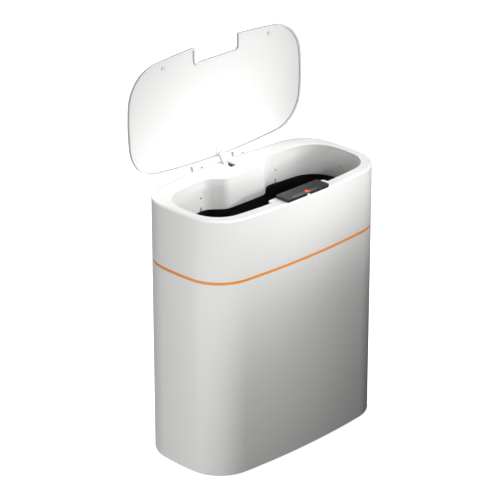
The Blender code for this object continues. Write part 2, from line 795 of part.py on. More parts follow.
def make_head_shell():
    profile = [(HEAD_WALL, CEILING), (HEAD_WALL, HEAD_BOTTOM), (0, HEAD_BOTTOM)]
    profile += outer_round(RIM_ROUND, RIM_TOP)
    shell = piece("head_shell", walls(body_outline, profile), "white shell")
    cut(shell, prism(mouth_outline(), CEILING - OVERRUN, RIM_TOP + OVERRUN))
    join(shell, prism(tongue_outline(), CEILING, RIM_TOP))
    join(shell, key_block())
    for low, high in ear_spans():
        join(shell, prism(ear_outline(), low, high, "YZ"))
    for x, y in boss_places().values():
        join(shell, rod((x, y), BOSS_RADIUS, TRAY_SEAT, CEILING + SINK, "XY"))
    cut_head_openings(shell)


def cut_head_openings(shell):
    for side in (-HINGE_X, HINGE_X):
        reach = KNUCKLE_WIDTH / 2 + KNUCKLE_GAP + EAR_WIDTH + OVERRUN
        bore = PIN_RADIUS + SHAFT_GAP
        cut(shell, rod((HINGE_Y, HINGE_Z), bore, side - reach, side + reach))
    pilot_top = TRAY_SEAT + SCREW_LENGTH
    for x, y in boss_places().values():
        pilot = SCREW_RADIUS + SHAFT_GAP
        cut(shell, rod((x, y), pilot, SKIRT_BOTTOM, pilot_top, "XY", AXLE_CIRCLE))
    cut(shell, lift_slot())
    low_x, high_x, low_z, high_z = door_limits()
    grow = SLIDE_GAP
    deep = BODY_HALF_DEPTH - CORNER_RADIUS / 2
    back = BODY_HALF_DEPTH + OVERRUN
    cut(shell, box(low_x - grow, high_x + grow, deep, back, low_z - grow, high_z + grow))
    cut(shell, switch_slot())
    lead_x, lead_y = sensor_lead_entry()
    hole = SENSOR_LEAD_RADIUS + LEAD_HOLE_GAP
    cut(shell, rod((lead_x, lead_y), hole, CEILING - OVERRUN, RIM_TOP + OVERRUN, "XY", AXLE_CIRCLE))


def lift_slot():
    """Room in the rim for the lug and the rod, up to the rear wall."""
    crank_y, crank_z = crank_centre()
    lean = (HINGE_Y - crank_y) / (HINGE_Z - crank_z)
    slant = math.hypot(1, lean)
    swing = (LIFT_RADIUS + LINK_EYE_RADIUS) * slant
    front = HINGE_Y - swing - (HINGE_Z - CEILING) * lean - LIFT_SLOT_GAP
    rear = BODY_HALF_DEPTH - HEAD_WALL
    return box(
        -ROD_HALF_WIDTH - LIFT_SLOT_GAP,
        LUG_HIGH + LIFT_SLOT_GAP,
        front,
        rear,
        CEILING - OVERRUN,
        RIM_TOP + OVERRUN,
    )


def key_block():
    """The small key of the rim that shows in the front wall of the sensor housing."""
    front = SENSOR_FRONT + SENSOR_WALL - KEY_DEPTH
    low = RIM_TOP - RIM_ROUND
    return box(-KEY_HALF_WIDTH, KEY_HALF_WIDTH, front, SENSOR_FRONT + SENSOR_WALL, low, RIM_TOP + KEY_HEIGHT)


def make_inner_skirt():
    profile = [
        (0, SKIRT_BOTTOM),
        (0, SKIRT_TOP),
        (-SKIRT_WALL, SKIRT_TOP),
        (-SKIRT_WALL, SKIRT_BOTTOM),
    ]
    skirt = piece("inner_skirt", walls(mouth_outline, profile, ring=True), "white shell")
    hole_z = RIM_TOP - CLIP_HOLE_DROP
    slot_top = SKIRT_BOTTOM + CLIP_SLOT_HEIGHT
    half_slot = CLIP_SLOT_WIDTH / 2
    for x in (CLIP_LEFT_X, CLIP_RIGHT_X):
        low_y = mouth_rear(x) - OVERRUN
        high_y = mouth_rear(x, -SKIRT_WALL) + OVERRUN
        cut(skirt, rod((hole_z, x), CLIP_HOLE_RADIUS, low_y, high_y, "ZX", AXLE_CIRCLE))
        cut(skirt, box(x - half_slot, x + half_slot, low_y, high_y, SKIRT_BOTTOM - OVERRUN, slot_top))
    low_x = MOUTH_HALF_LENGTH - OVERRUN
    high_x = MOUTH_HALF_LENGTH + SKIRT_WALL + OVERRUN
    end_hole = (MOUTH_CENTRE + END_CLIP_SHIFT, hole_z)
    for low, high in ((low_x, high_x), (-high_x, -low_x)):
        cut(skirt, rod(end_hole, CLIP_HOLE_RADIUS, low, high, "YZ", AXLE_CIRCLE))


def rear_span(outline, half):
    """The rear part of an outline between -half and half along X, from right to left."""
    points = [p for p in outline if p.y > MOUTH_CENTRE]
    inside = [p for p in points if abs(p.x) < half]
    ends = []
    for side in (half, -half):
        for a, b in zip(points, points[1:]):
            if (a.x - side) * (b.x - side) <= 0 and a.x != b.x:
                ends.append(a.lerp(b, (side - a.x) / (b.x - a.x)))
                break
    return [ends[0]] + inside + [ends[1]]


def make_drive_tray():
    outer = rear_span(body_outline(HEAD_WALL + SEAT_GAP), TRAY_HALF_LENGTH)
    inner = rear_span(mouth_outline(-SKIRT_WALL - SEAT_GAP), TRAY_HALF_LENGTH)
    tray = piece("drive_tray", prism(outer + inner[::-1], SKIRT_BOTTOM, TRAY_TOP), "white shell")
    for x, y in boss_places().values():
        hole = SCREW_RADIUS + SEAT_GAP
        cut(tray, rod((x, y), hole, SKIRT_BOTTOM - OVERRUN, TRAY_TOP + OVERRUN, "XY", AXLE_CIRCLE))


def make_tray_screws():
    head_top = SKIRT_BOTTOM - SEAT_GAP
    for name, (x, y) in boss_places().items():
        head = rod((x, y), SCREW_HEAD_RADIUS, head_top - SCREW_HEAD_HEIGHT, head_top, "XY")
        screw = piece(name, head, "steel")
        top = TRAY_SEAT + SCREW_LENGTH - OVERRUN
        join(screw, rod((x, y), SCREW_RADIUS, head_top - SINK, top, "XY", AXLE_CIRCLE))


def make_hinge_pins():
    reach = KNUCKLE_WIDTH / 2 + KNUCKLE_GAP + EAR_WIDTH
    for name, x in (("hinge_pin_left", -HINGE_X), ("hinge_pin_right", HINGE_X)):
        piece(name, rod((HINGE_Y, HINGE_Z), PIN_RADIUS, x - reach, x + reach), "steel")


# Sensor housing


def sensor_outline(distance=0.0):
    corners = rounded_rectangle(
        -SENSOR_HALF_LENGTH, SENSOR_HALF_LENGTH, SENSOR_FRONT, SENSOR_REAR, SENSOR_CORNER
    )
    return inset(corners, distance)


def window_limits():
    low_y = SENSOR_FRONT + WINDOW_FRONT_INSET
    return -WINDOW_HALF_LENGTH, WINDOW_HALF_LENGTH, low_y, low_y + WINDOW_WIDTH


def sensor_lead_entry():
    return -SENSOR_LEAD_X, SENSOR_FRONT + SENSOR_LEAD_FRONT_INSET


def make_sensor_housing():
    profile = [
        (SENSOR_WALL, SENSOR_CEILING),
        (SENSOR_WALL, SENSOR_BOTTOM),
        (0, SENSOR_BOTTOM),
    ]
    profile += outer_round(SENSOR_EDGE_ROUND, SENSOR_TOP)
    cover = piece("sensor_cover", walls(sensor_outline, profile), "smoke cover")
    low_x, high_x, low_y, high_y = window_limits()
    cut(cover, box(low_x, high_x, low_y, high_y, SENSOR_CEILING - OVERRUN, SENSOR_TOP + OVERRUN))
    key = KEY_HALF_WIDTH + SEAT_GAP
    key_top = RIM_TOP + KEY_HEIGHT + SEAT_GAP
    low, high = SENSOR_FRONT - OVERRUN, SENSOR_FRONT + SENSOR_WALL + SEAT_GAP
    cut(cover, box(-key, key, low, high, SENSOR_BOTTOM - OVERRUN, key_top))
    base_top = SENSOR_BOTTOM + SENSOR_BASE_THICKNESS
    outline = sensor_outline(SENSOR_WALL + SEAT_GAP)
    base = piece("sensor_base", prism(outline, SENSOR_BOTTOM, base_top), "smoke cover")
    lead = SENSOR_LEAD_RADIUS + LEAD_HOLE_GAP
    low, high = SENSOR_BOTTOM - OVERRUN, base_top + OVERRUN
    cut(base, rod(sensor_lead_entry(), lead, low, high, "XY", AXLE_CIRCLE))


def make_sensor_parts():
    low_x, high_x, low_y, high_y = window_limits()
    gap = SEAT_GAP
    top = SENSOR_CEILING + WINDOW_THICKNESS
    pane = box(low_x + gap, high_x - gap, low_y + gap, high_y - gap, SENSOR_CEILING, top)
    window = piece("sensor_window", pane, "smoke window")
    lamp = (0, SENSOR_FRONT + LAMP_FRONT_INSET)
    low, high = SENSOR_CEILING - OVERRUN, SENSOR_TOP + OVERRUN
    cut(window, rod(lamp, LAMP_RADIUS + gap, low, high, "XY"))
    outline = sensor_outline(SENSOR_WALL + 2 * SEAT_GAP)
    piece("sensor_board", prism(outline, BOARD_BOTTOM, BOARD_TOP), "board")
    seat = BOARD_TOP + SEAT_GAP
    piece("status_lamp", rod(lamp, LAMP_RADIUS, seat, top, "XY"), "red lamp")
    diode_top = SENSOR_CEILING - SEAT_GAP
    middle = (low_y + high_y) / 2
    low_y, high_y = middle - DIODE_WIDTH / 2, middle + DIODE_WIDTH / 2
    for name, x in (("ir_emitter", -DIODE_X), ("ir_receiver", DIODE_X)):
        half = DIODE_LENGTH / 2
        piece(name, box(x - half, x + half, low_y, high_y, seat, diode_top), "smoke window")


# Lid


def make_lid(pivot):
    """The lid's skin and panel, shaped closed and hung on the hinge's empty."""
    low, high = LID_BOTTOM - HINGE_Z, LID_TOP - HINGE_Z
    profile = [(LID_LIP, high - LID_SKIN), (LID_LIP, low), (0, low)]
    profile += outer_round(LID_EDGE_ROUND, high)
    skin = piece("lid_skin", walls(lid_outline, profile), "white lid", pivot)
    for side in (-HINGE_X, HINGE_X):
        half = KNUCKLE_WIDTH / 2 + KNUCKLE_GAP + EAR_WIDTH + KNUCKLE_GAP
        edge = -EAR_RADIUS - LID_NOTCH_GAP
        cut(skin, box(side - half, side + half, edge, 0, low - OVERRUN, high + OVERRUN))
    for side in (-HINGE_X, HINGE_X):
        half = KNUCKLE_WIDTH / 2
        join(skin, prism(knuckle_outline(), side - half, side + half, "YZ"))
        bore = PIN_RADIUS + SHAFT_GAP
        cut(skin, rod((0, 0), bore, side - half - OVERRUN, side + half + OVERRUN))
    low, high = PANEL_BOTTOM - HINGE_Z, PANEL_TOP - HINGE_Z
    panel = prism(lid_outline(LID_LIP + SEAT_GAP), low, high)
    piece("lid_panel", panel, "white lid", pivot)


def knuckle_outline():
    """A hinge knuckle from the side, with a neck that runs into the lid's rear lip."""
    eye = arc(Vector((0, 0)), KNUCKLE_RADIUS, math.radians(-135), math.radians(100), 12)
    root = -EAR_RADIUS - LID_NOTCH_GAP - LID_LIP / 3
    top = LID_TOP - HINGE_Z - SEAT_GAP
    bottom = LID_BOTTOM - HINGE_Z + SEAT_GAP
    return eye + [Vector((root, top)), Vector((root, bottom))]


def lug_pin():
    """The lug's pin from the hinge axis, with the lid closed."""
    angle = math.radians(LIFT_CLOSED_DEGREES)
    return Vector((LIFT_RADIUS * math.cos(angle), LIFT_RADIUS * math.sin(angle)))


def make_lift_lug(pivot):
    """A foot under the panel with one ear and the pin that the rod hangs on."""
    pin = lug_pin()
    foot_top = PANEL_BOTTOM - HINGE_Z - SEAT_GAP
    foot_low = foot_top - LUG_BASE_THICKNESS
    middle = (LUG_LOW + LUG_HIGH) / 2
    rear = LID_REAR - HINGE_Y - LID_LIP - 2 * SEAT_GAP
    half = LUG_BASE_LENGTH / 2
    foot = box(middle - half, middle + half, rear - LUG_BASE_DEPTH, rear, foot_low, foot_top)
    lug = piece("lift_lug", foot, "nylon", pivot)
    eye = arc(pin, LINK_EYE_RADIUS, math.radians(150), math.radians(380), 12)
    top = foot_low + SINK
    root = pin.x - LUG_FOOT_HALF / 2
    ear = eye + [Vector((rear - SEAT_GAP, top)), Vector((root - LUG_FOOT_HALF, top))]
    join(lug, prism(ear, LUG_LOW, LUG_HIGH, "YZ"))
    join(lug, rod(pin, PIN_RADIUS, -ROD_HALF_WIDTH, LUG_LOW + SINK))


def make_lid_pads(pivot):
    low = LID_BOTTOM - HINGE_Z
    top = PANEL_BOTTOM - HINGE_Z - SEAT_GAP
    y = min(crossings(lid_outline(), PAD_X)) + PAD_FRONT_INSET
    for name, x in (("lid_pad_left", -PAD_X), ("lid_pad_right", PAD_X)):
        piece(name, rod((x, y), PAD_RADIUS, low, top, "XY"), "silicone", pivot)


# Lift linkage and gear train


def crank_centre():
    return MOUTH_REAR + CRANK_BEHIND_MOUTH, RIM_TOP - CRANK_BELOW_RIM


def away(start, degrees, distance):
    angle = math.radians(degrees)
    return start[0] + distance * math.cos(angle), start[1] + distance * math.sin(angle)


def mesh_distance(teeth, other_teeth):
    return GEAR_MODULE * (teeth + other_teeth) / 2


def stage_centres():
    """Centres of the second stage, the first stage and the motor, from the crank inwards."""
    second = away(crank_centre(), STAGE_TWO_DEGREES, mesh_distance(OUTPUT_TEETH, PINION_TEETH))
    first = away(second, STAGE_ONE_DEGREES, mesh_distance(WHEEL_TEETH, PINION_TEETH))
    motor = away(first, MOTOR_DEGREES, mesh_distance(WHEEL_TEETH, PINION_TEETH))
    return second, first, motor


def tooth_half_angle(teeth, radius):
    """Half the angle that a tooth fills at this radius, from its involute flanks."""
    pitch = GEAR_MODULE * teeth / 2
    pressure = math.radians(PRESSURE_DEGREES)
    base = pitch * math.cos(pressure)
    here = math.acos(base / max(radius, base))
    at_pitch = (math.pi * GEAR_MODULE / 2 - TOOTH_BACKLASH) / (2 * pitch)
    return at_pitch + (math.tan(pressure) - pressure) - (math.tan(here) - here)


def gear_outline(teeth, phase):
    """A spur gear, with a tooth centred on the phase angle."""
    pitch = GEAR_MODULE * teeth / 2
    radii = [pitch - DEDENDUM_SHARE * GEAR_MODULE, pitch, pitch + ADDENDUM_SHARE * GEAR_MODULE]
    points = []
    for i in range(teeth):
        middle = phase + 2 * math.pi * i / teeth
        flank = [(r, tooth_half_angle(teeth, r)) for r in radii]
        sides = [(r, middle - a) for r, a in flank] + [(r, middle + a) for r, a in reversed(flank)]
        points += [Vector((r * math.cos(a), r * math.sin(a))) for r, a in sides]
    return points


def meshing_phase(teeth, phase, heading_degrees, other_teeth):
    """The phase of a gear that meshes with another one, seen from it at this heading."""
    heading = math.radians(heading_degrees)
    passed = (heading - phase) * teeth / (2 * math.pi)
    return heading + math.pi - (0.5 - passed) * 2 * math.pi / other_teeth


def gear_phases():
    """Rest phases of the second stage, the first stage and the motor pinion. The output gear's is zero."""
    second = meshing_phase(OUTPUT_TEETH, 0, STAGE_TWO_DEGREES, PINION_TEETH)
    first = meshing_phase(WHEEL_TEETH, second, STAGE_ONE_DEGREES, PINION_TEETH)
    pinion = meshing_phase(WHEEL_TEETH, first, MOTOR_DEGREES, PINION_TEETH)
    return second, first, pinion


def make_lift_linkage():
    crank_y, crank_z = crank_centre()
    pin = lug_pin()
    crank_pivot = pivot_at("crank_axis", crank_y, crank_z, LID_TURN)
    outline = link_outline((0, 0), CRANK_HUB_RADIUS, pin, LINK_EYE_RADIUS)
    crank = piece("lift_crank", prism(outline, LUG_LOW, LUG_HIGH, "YZ"), "nylon", crank_pivot)
    join(crank, rod(pin, PIN_RADIUS, -ROD_HALF_WIDTH, LUG_LOW + SINK))
    bore = OUTPUT_SHAFT_RADIUS + SHAFT_GAP
    cut(crank, rod((0, 0), bore, LUG_LOW - OVERRUN, LUG_HIGH + OVERRUN))
    open_angle = math.radians(LIFT_CLOSED_DEGREES) + LID_TURN
    lower = Vector((LIFT_RADIUS * math.cos(open_angle), LIFT_RADIUS * math.sin(open_angle)))
    rod_pivot = pivot_at("rod_axis", crank_y + lower.x, crank_z + lower.y)
    upper = Vector((HINGE_Y - crank_y, HINGE_Z - crank_z))
    outline = link_outline((0, 0), LINK_EYE_RADIUS, upper, LINK_EYE_RADIUS)
    half = ROD_HALF_WIDTH
    lift_rod = piece("lift_rod", prism(outline, -half, half, "YZ"), "nylon", rod_pivot)
    bore = PIN_RADIUS + SHAFT_GAP
    for centre in ((0, 0), upper):
        cut(lift_rod, rod(centre, bore, -half - OVERRUN, half + OVERRUN))


def make_output():
    crank_y, crank_z = crank_centre()
    pivot = pivot_at("output_axis", crank_y, crank_z)
    shaft = rod((0, 0), OUTPUT_SHAFT_RADIUS, LUG_LOW, OUTER_PLATE_HIGH + SEAT_GAP)
    piece("output_shaft", shaft, "steel", pivot)
    teeth = prism(gear_outline(OUTPUT_TEETH, 0), THIRD_LAYER_LOW, THIRD_LAYER_HIGH, "YZ")
    gear = piece("output_gear", teeth, "nylon", pivot)
    join(gear, rod((0, 0), OUTPUT_HUB_RADIUS, FIRST_LAYER_LOW, THIRD_LAYER_LOW + SINK))
    bore = OUTPUT_SHAFT_RADIUS + SHAFT_GAP
    cut(gear, rod((0, 0), bore, FIRST_LAYER_LOW - OVERRUN, THIRD_LAYER_HIGH + OVERRUN))


def make_compound_gears():
    """Two wheels with a pinion beside each, on axles held between the plates."""
    second, first, _ = stage_centres()
    second_phase, first_phase, _ = gear_phases()
    stages = (
        ("first_gear", "first_axle", first, first_phase, FIRST_LAYER_LOW, SECOND_LAYER_HIGH),
        ("second_gear", "second_axle", second, second_phase, SECOND_LAYER_LOW, THIRD_LAYER_HIGH),
    )
    for name, axle_name, (y, z), phase, low, pinion_high in stages:
        pivot = pivot_at(f"{name}_axis", y, z)
        wheel = prism(gear_outline(WHEEL_TEETH, phase), low, low + WHEEL_WIDTH, "YZ")
        gear = piece(name, wheel, "nylon", pivot)
        pinion_low = low + WHEEL_WIDTH - SINK
        join(gear, prism(gear_outline(PINION_TEETH, phase), pinion_low, pinion_high, "YZ"))
        join(gear, rod((0, 0), HUB_RADIUS, FIRST_LAYER_LOW, THIRD_LAYER_HIGH, "YZ", AXLE_CIRCLE))
        bore = AXLE_RADIUS + SHAFT_GAP
        low, high = FIRST_LAYER_LOW - OVERRUN, THIRD_LAYER_HIGH + OVERRUN
        cut(gear, rod((0, 0), bore, low, high, "YZ", AXLE_CIRCLE))
        axle = rod((y, z), AXLE_RADIUS, INNER_PLATE_LOW, OUTER_PLATE_HIGH, "YZ", AXLE_CIRCLE)
        piece(axle_name, axle, "steel")


def plate_outline():
    front = BULGE_FRONT + SKIRT_WALL + PLATE_MARGIN
    rear = BODY_HALF_DEPTH - HEAD_WALL - PLATE_REAR_ROOM
    top = CEILING - PLATE_HEADROOM
    return rounded_rectangle(front, rear, TRAY_SEAT, top, PLATE_ROUND)


def make_gear_plates():
    second, first, motor = stage_centres()
    crank = crank_centre()
    plates = (
        ("gear_plate_inner", INNER_PLATE_LOW, INNER_PLATE_HIGH),
        ("gear_plate_outer", OUTER_PLATE_LOW, OUTER_PLATE_HIGH),
    )
    for name, low, high in plates:
        plate = piece(name, prism(plate_outline(), low, high, "YZ"), "nylon")
        low, high = low - OVERRUN, high + OVERRUN
        for centre in (second, first):
            cut(plate, rod(centre, AXLE_RADIUS + SHAFT_GAP, low, high, "YZ", AXLE_CIRCLE))
        cut(plate, rod(crank, OUTPUT_SHAFT_RADIUS + SHAFT_GAP, low, high))
        if name == "gear_plate_inner":
            cut(plate, rod(motor, MOTOR_BOSS_RADIUS + SEAT_GAP, low, high))
            continue
        margin = PLATE_MARGIN + 2 * POST_RADIUS
        posts = (
            (BULGE_FRONT + SKIRT_WALL + margin, CEILING - PLATE_HEADROOM - margin / 2),
            (BODY_HALF_DEPTH - HEAD_WALL - PLATE_REAR_ROOM - margin / 2, TRAY_SEAT + margin / 2),
        )
        for centre in posts:
            join(plate, rod(centre, POST_RADIUS, INNER_PLATE_HIGH + SEAT_GAP, OUTER_PLATE_LOW + SINK))


def motor_outline(distance=0.0):
    """A round can with two flats, in Y and Z about its shaft."""
    _, _, (y, z) = stage_centres()
    radius = MOTOR_RADIUS - distance
    flat = MOTOR_HALF_WIDTH - distance
    half = math.acos(flat / radius)
    upper = arc(Vector((y, z)), radius, half, math.pi - half, SMALL_CIRCLE // 2)
    lower = arc(Vector((y, z)), radius, math.pi + half, 2 * math.pi - half, SMALL_CIRCLE // 2)
    return upper + lower


def make_motor():
    _, _, centre = stage_centres()
    can = piece("drive_motor", prism(motor_outline(), MOTOR_BACK, MOTOR_FRONT, "YZ"), "steel")
    boss_end = MOTOR_FRONT + MOTOR_BOSS_LENGTH
    join(can, rod(centre, MOTOR_BOSS_RADIUS, MOTOR_FRONT - SINK, boss_end))
    bore_end = MOTOR_FRONT - MOTOR_BORE_DEPTH
    cut(can, rod(centre, MOTOR_SHAFT_RADIUS + SHAFT_GAP, bore_end, boss_end + OVERRUN))
    cap_high = MOTOR_BACK - SEAT_GAP
    cap = prism(motor_outline(MOTOR_CAP_INSET), cap_high - MOTOR_CAP_LENGTH, cap_high, "YZ")
    piece("motor_end_cap", cap, "nylon")


def make_motor_rotor():
    _, _, (y, z) = stage_centres()
    _, _, phase = gear_phases()
    pivot = pivot_at("motor_axis", y, z)
    low = MOTOR_FRONT - MOTOR_BORE_DEPTH + SEAT_GAP
    piece("motor_shaft", rod((0, 0), MOTOR_SHAFT_RADIUS, low, FIRST_LAYER_HIGH), "steel", pivot)
    teeth = prism(gear_outline(PINION_TEETH, phase), FIRST_LAYER_LOW, FIRST_LAYER_HIGH, "YZ")
    pinion = piece("motor_pinion", teeth, "nylon", pivot)
    bore = MOTOR_SHAFT_RADIUS + SHAFT_GAP
    cut(pinion, rod((0, 0), bore, FIRST_LAYER_LOW - OVERRUN, FIRST_LAYER_HIGH + OVERRUN))


# Battery box, cells, contacts and door


def cavity_limits():
    """X, Y and Z limits of the cells' cavity, which is open to the rear."""
    low_x, high_x = CAVITY_LOW_X, CAVITY_HIGH_X
    high_y = body_rear(high_x, HEAD_WALL) - BATTERY_WALL_GAP
    low_y = high_y - 2 * CELL_RADIUS - 2 * SEAT_GAP
    low_z = TRAY_SEAT + BOX_WALL
    high_z = low_z + CELL_SPACING + 2 * CELL_RADIUS + 2 * SEAT_GAP
    return low_x, high_x, low_y, high_y, low_z, high_z


def cell_centres():
    _, _, low_y, _, low_z, _ = cavity_limits()
    y = low_y + SEAT_GAP + CELL_RADIUS
    z = low_z + SEAT_GAP + CELL_RADIUS
    return (y, z), (y, z + CELL_SPACING)


def door_limits():
    low_x, high_x, _, _, low_z, high_z = cavity_limits()
    grow = DOOR_MARGIN
    return low_x - grow, high_x + grow, low_z - grow, high_z + grow


def make_battery_box():
    low_x, high_x, low_y, high_y, low_z, high_z = cavity_limits()
    wall = BOX_WALL
    outer = box(low_x - wall, high_x + wall, low_y - wall, high_y, low_z - wall, high_z + wall)
    case = piece("battery_box", outer, "nylon")
    cut(case, box(low_x, high_x, low_y, high_y + OVERRUN, low_z, high_z))


def make_cells():
    low_x = cavity_limits()[0] + CONTACT_ROOM
    lower, upper = cell_centres()
    body_end = low_x + CELL_LENGTH
    nub_end = body_end + NUB_LENGTH
    cell = piece("battery_cell_lower", rod(lower, CELL_RADIUS, low_x, body_end), "cell")
    join(cell, rod(lower, NUB_RADIUS, body_end - SINK, nub_end, "YZ", AXLE_CIRCLE))
    body_start = low_x + NUB_LENGTH
    cell = piece("battery_cell_upper", rod(upper, CELL_RADIUS, body_start, nub_end), "cell")
    join(cell, rod(upper, NUB_RADIUS, low_x, body_start + SINK, "YZ", AXLE_CIRCLE))


def contact(name, wall_x, facing, low_z, high_z, centres):
    """A plate against an end wall, with a raised dimple towards each cell that it serves."""
    _, _, low_y, high_y, _, _ = cavity_limits()
    near = wall_x + facing * SEAT_GAP
    far = near + facing * CONTACT_THICKNESS
    tip = wall_x + facing * (CONTACT_ROOM - SEAT_GAP)
    span = sorted((near, far))
    plate = box(*span, low_y + SEAT_GAP, high_y - SEAT_GAP, low_z, high_z)
    item = piece(name, plate, "nickel")
    for centre in centres:
        reach = sorted((near + facing * CONTACT_THICKNESS / 2, tip))
        join(item, rod(centre, NUB_RADIUS, *reach, "YZ", AXLE_CIRCLE))


def make_contacts():
    low_x, high_x, _, _, low_z, high_z = cavity_limits()
    lower, upper = cell_centres()
    middle = (lower[1] + upper[1]) / 2
    low, high = low_z + SEAT_GAP, high_z - SEAT_GAP
    contact("battery_bridge", high_x, -1, low, high, (lower, upper))
    contact("battery_contact_minus", low_x, 1, low, middle - SEAT_GAP, (lower,))
    contact("battery_contact_plus", low_x, 1, middle + SEAT_GAP, high, (upper,))


def make_battery_door():
    """A piece of the rear wall that pulls straight off, with a rib that follows it inside."""
    low_x, high_x, low_z, high_z = door_limits()
    low, high = low_z + DOOR_RIB_INSET, high_z - DOOR_RIB_INSET
    deep = HEAD_WALL + DOOR_RIB
    profile = [
        (0, low_z),
        (0, high_z),
        (HEAD_WALL, high_z),
        (HEAD_WALL, high),
        (deep, high),
        (deep, low),
        (HEAD_WALL, low),
        (HEAD_WALL, low_z),
    ]
    door = piece("battery_door", walls(body_outline, profile, ring=True), "white shell")
    front = BODY_HALF_DEPTH - CORNER_RADIUS / 2
    back = BODY_HALF_DEPTH + OVERRUN
    keep(door, box(low_x, high_x, front, back, low_z - OVERRUN, high_z + OVERRUN))
    middle = (low_x + high_x) / 2
    grip = body_rear(middle) + DOOR_GRIP_RADIUS - DOOR_GRIP_DEPTH
    cut(door, rod((middle, grip), DOOR_GRIP_RADIUS, low, high, "XY"))


# Control board and power switch


def control_face():
    """The Y of the control board's face towards the rear wall."""
    return body_rear(CONTROL_HIGH_X, HEAD_WALL) - CONTROL_WALL_ROOM / 2


def make_control_board():
    face = control_face()
    low_x, high_x = -CONTROL_HIGH_X, -CONTROL_LOW_X
    top = TRAY_SEAT + CONTROL_HEIGHT
    board = box(low_x, high_x, face - CONTROL_THICKNESS, face, TRAY_SEAT, top)
    board = piece("control_board", board, "board")
    back = face - CONTROL_THICKNESS
    chip_x = low_x + CHIP_SIZE
    chip_z = TRAY_SEAT + CHIP_SIZE
    low_y, high_y = back - CHIP_HEIGHT, back + SINK
    join(board, box(chip_x, chip_x + CHIP_SIZE, low_y, high_y, chip_z, chip_z + CHIP_SIZE))
    centre = (top - 2 * CAPACITOR_RADIUS, high_x - 3 * CAPACITOR_RADIUS)
    join(board, rod(centre, CAPACITOR_RADIUS, back - CAPACITOR_HEIGHT, high_y, "ZX"))


def switch_wall():
    """The inner and outer Y of the rear wall at the switch."""
    far_x = SWITCH_X + SWITCH_LENGTH / 2
    return body_rear(far_x, HEAD_WALL), body_rear(far_x)


def switch_middle():
    return TRAY_SEAT + SWITCH_HEIGHT_ABOVE_TRAY


def switch_slot():
    half = (SLIDER_LENGTH + SLIDER_TRAVEL) / 2 + SLIDE_GAP
    tall = SLIDER_HEIGHT / 2 + SLIDE_GAP
    inner, outer = switch_wall()
    z = switch_middle()
    low_y, high_y = inner - OVERRUN, outer + 2 * OVERRUN
    return box(-SWITCH_X - half, -SWITCH_X + half, low_y, high_y, z - tall, z + tall)


def make_power_switch():
    inner, _ = switch_wall()
    z = switch_middle()
    half = SWITCH_LENGTH / 2
    face = inner - 2 * SEAT_GAP
    low, high = z - SWITCH_HEIGHT / 2, z + SWITCH_HEIGHT / 2
    body = box(-SWITCH_X - half, -SWITCH_X + half, control_face() + SEAT_GAP, face, low, high)
    piece("switch_body", body, "smoke cover")
    low_x = -SWITCH_X - (SLIDER_LENGTH + SLIDER_TRAVEL) / 2
    low_z, high_z = z - SLIDER_HEIGHT / 2, z + SLIDER_HEIGHT / 2
    tip = body_rear(SWITCH_X) + SLIDER_PROUD
    knob = box(low_x, low_x + SLIDER_LENGTH, face + SEAT_GAP, tip, low_z, high_z)
    piece("switch_slider", knob, "smoke cover")


# Leads


def smooth_route(points, steps):
    """Points along a smooth curve through the route's own points."""
    points = [Vector(p) for p in points]
    padded = [2 * points[0] - points[1]] + points + [2 * points[-1] - points[-2]]
    result = []
    for a, b, c, d in zip(padded, padded[1:], padded[2:], padded[3:]):
        for i in range(steps):
            t = i / steps
            bend = (2 * a - 5 * b + 4 * c - d) * t**2 + (3 * b - a - 3 * c + d) * t**3
            result.append((2 * b + (c - a) * t + bend) / 2)
    return result + [points[-1]]


def lead(name, points, radius):
    curve = bpy.data.curves.new(name, "CURVE")
    curve.dimensions = "3D"
    curve.bevel_depth = radius
    curve.bevel_resolution = 2
    curve.use_fill_caps = True
    spline = curve.splines.new("POLY")
    spline.points.add(len(points) - 1)
    for target, point in zip(spline.points, points):
        target.co = (*point, 1)
    curve.materials.append(material("lead"))
    link_to_scene(bpy.data.objects.new(name, curve))


def make_sensor_lead():
    """From the sensor board down through the rim, then along the head's wall round the left end."""
    x, y = sensor_lead_entry()
    level = CEILING - SENSOR_LEAD_DROP
    along = body_outline(HEAD_WALL + LEAD_WALL_GAP + SENSOR_LEAD_RADIUS)
    rear_end = -CONTROL_HIGH_X - SENSOR_LEAD_DROP
    path = [p for p in along if p.y < 0 and p.x < x - SENSOR_LEAD_DROP]
    path = sorted(path, key=lambda p: p.y)
    path += sorted([p for p in along if p.y >= 0 and p.x < rear_end], key=lambda p: p.y)
    route = [(x, y, BOARD_BOTTOM - LEAD_END_GAP), (x, y, CEILING), (x - SENSOR_LEAD_DROP / 4, y, level)]
    route += [(p.x, p.y, level) for p in path]
    end_x = -CONTROL_HIGH_X - LEAD_END_GAP
    end_y = control_face() - CONTROL_THICKNESS / 2
    end_z = TRAY_SEAT + CONTROL_HEIGHT - 2 * SENSOR_LEAD_RADIUS
    route.append((end_x - SENSOR_LEAD_DROP / 2, end_y, end_z))
    route.append((end_x, end_y, end_z))
    lead("sensor_lead", smooth_route(route, 2), SENSOR_LEAD_RADIUS)


def make_motor_lead():
    """From the motor's end cap to the near edge of the control board."""
    _, _, (y, z) = stage_centres()
    start_x = MOTOR_BACK - MOTOR_CAP_LENGTH - SEAT_GAP - LEAD_END_GAP
    end_x = -CONTROL_LOW_X + LEAD_END_GAP
    end_y = control_face() - CONTROL_THICKNESS / 2
    end_z = TRAY_SEAT + CONTROL_HEIGHT / 2
    step = MOTOR_CAP_LENGTH * 2
    third = (start_x - end_x) / 3
    y += MOTOR_BOSS_RADIUS
    route = [
        (start_x, y, z),
        (start_x - step, y + MOTOR_BOSS_LENGTH, z),
        (start_x - third, y + third, end_z),
        (end_x + step, end_y, end_z),
        (end_x, end_y, end_z),
    ]
    lead("motor_lead", smooth_route(route, 5), POWER_LEAD_RADIUS)


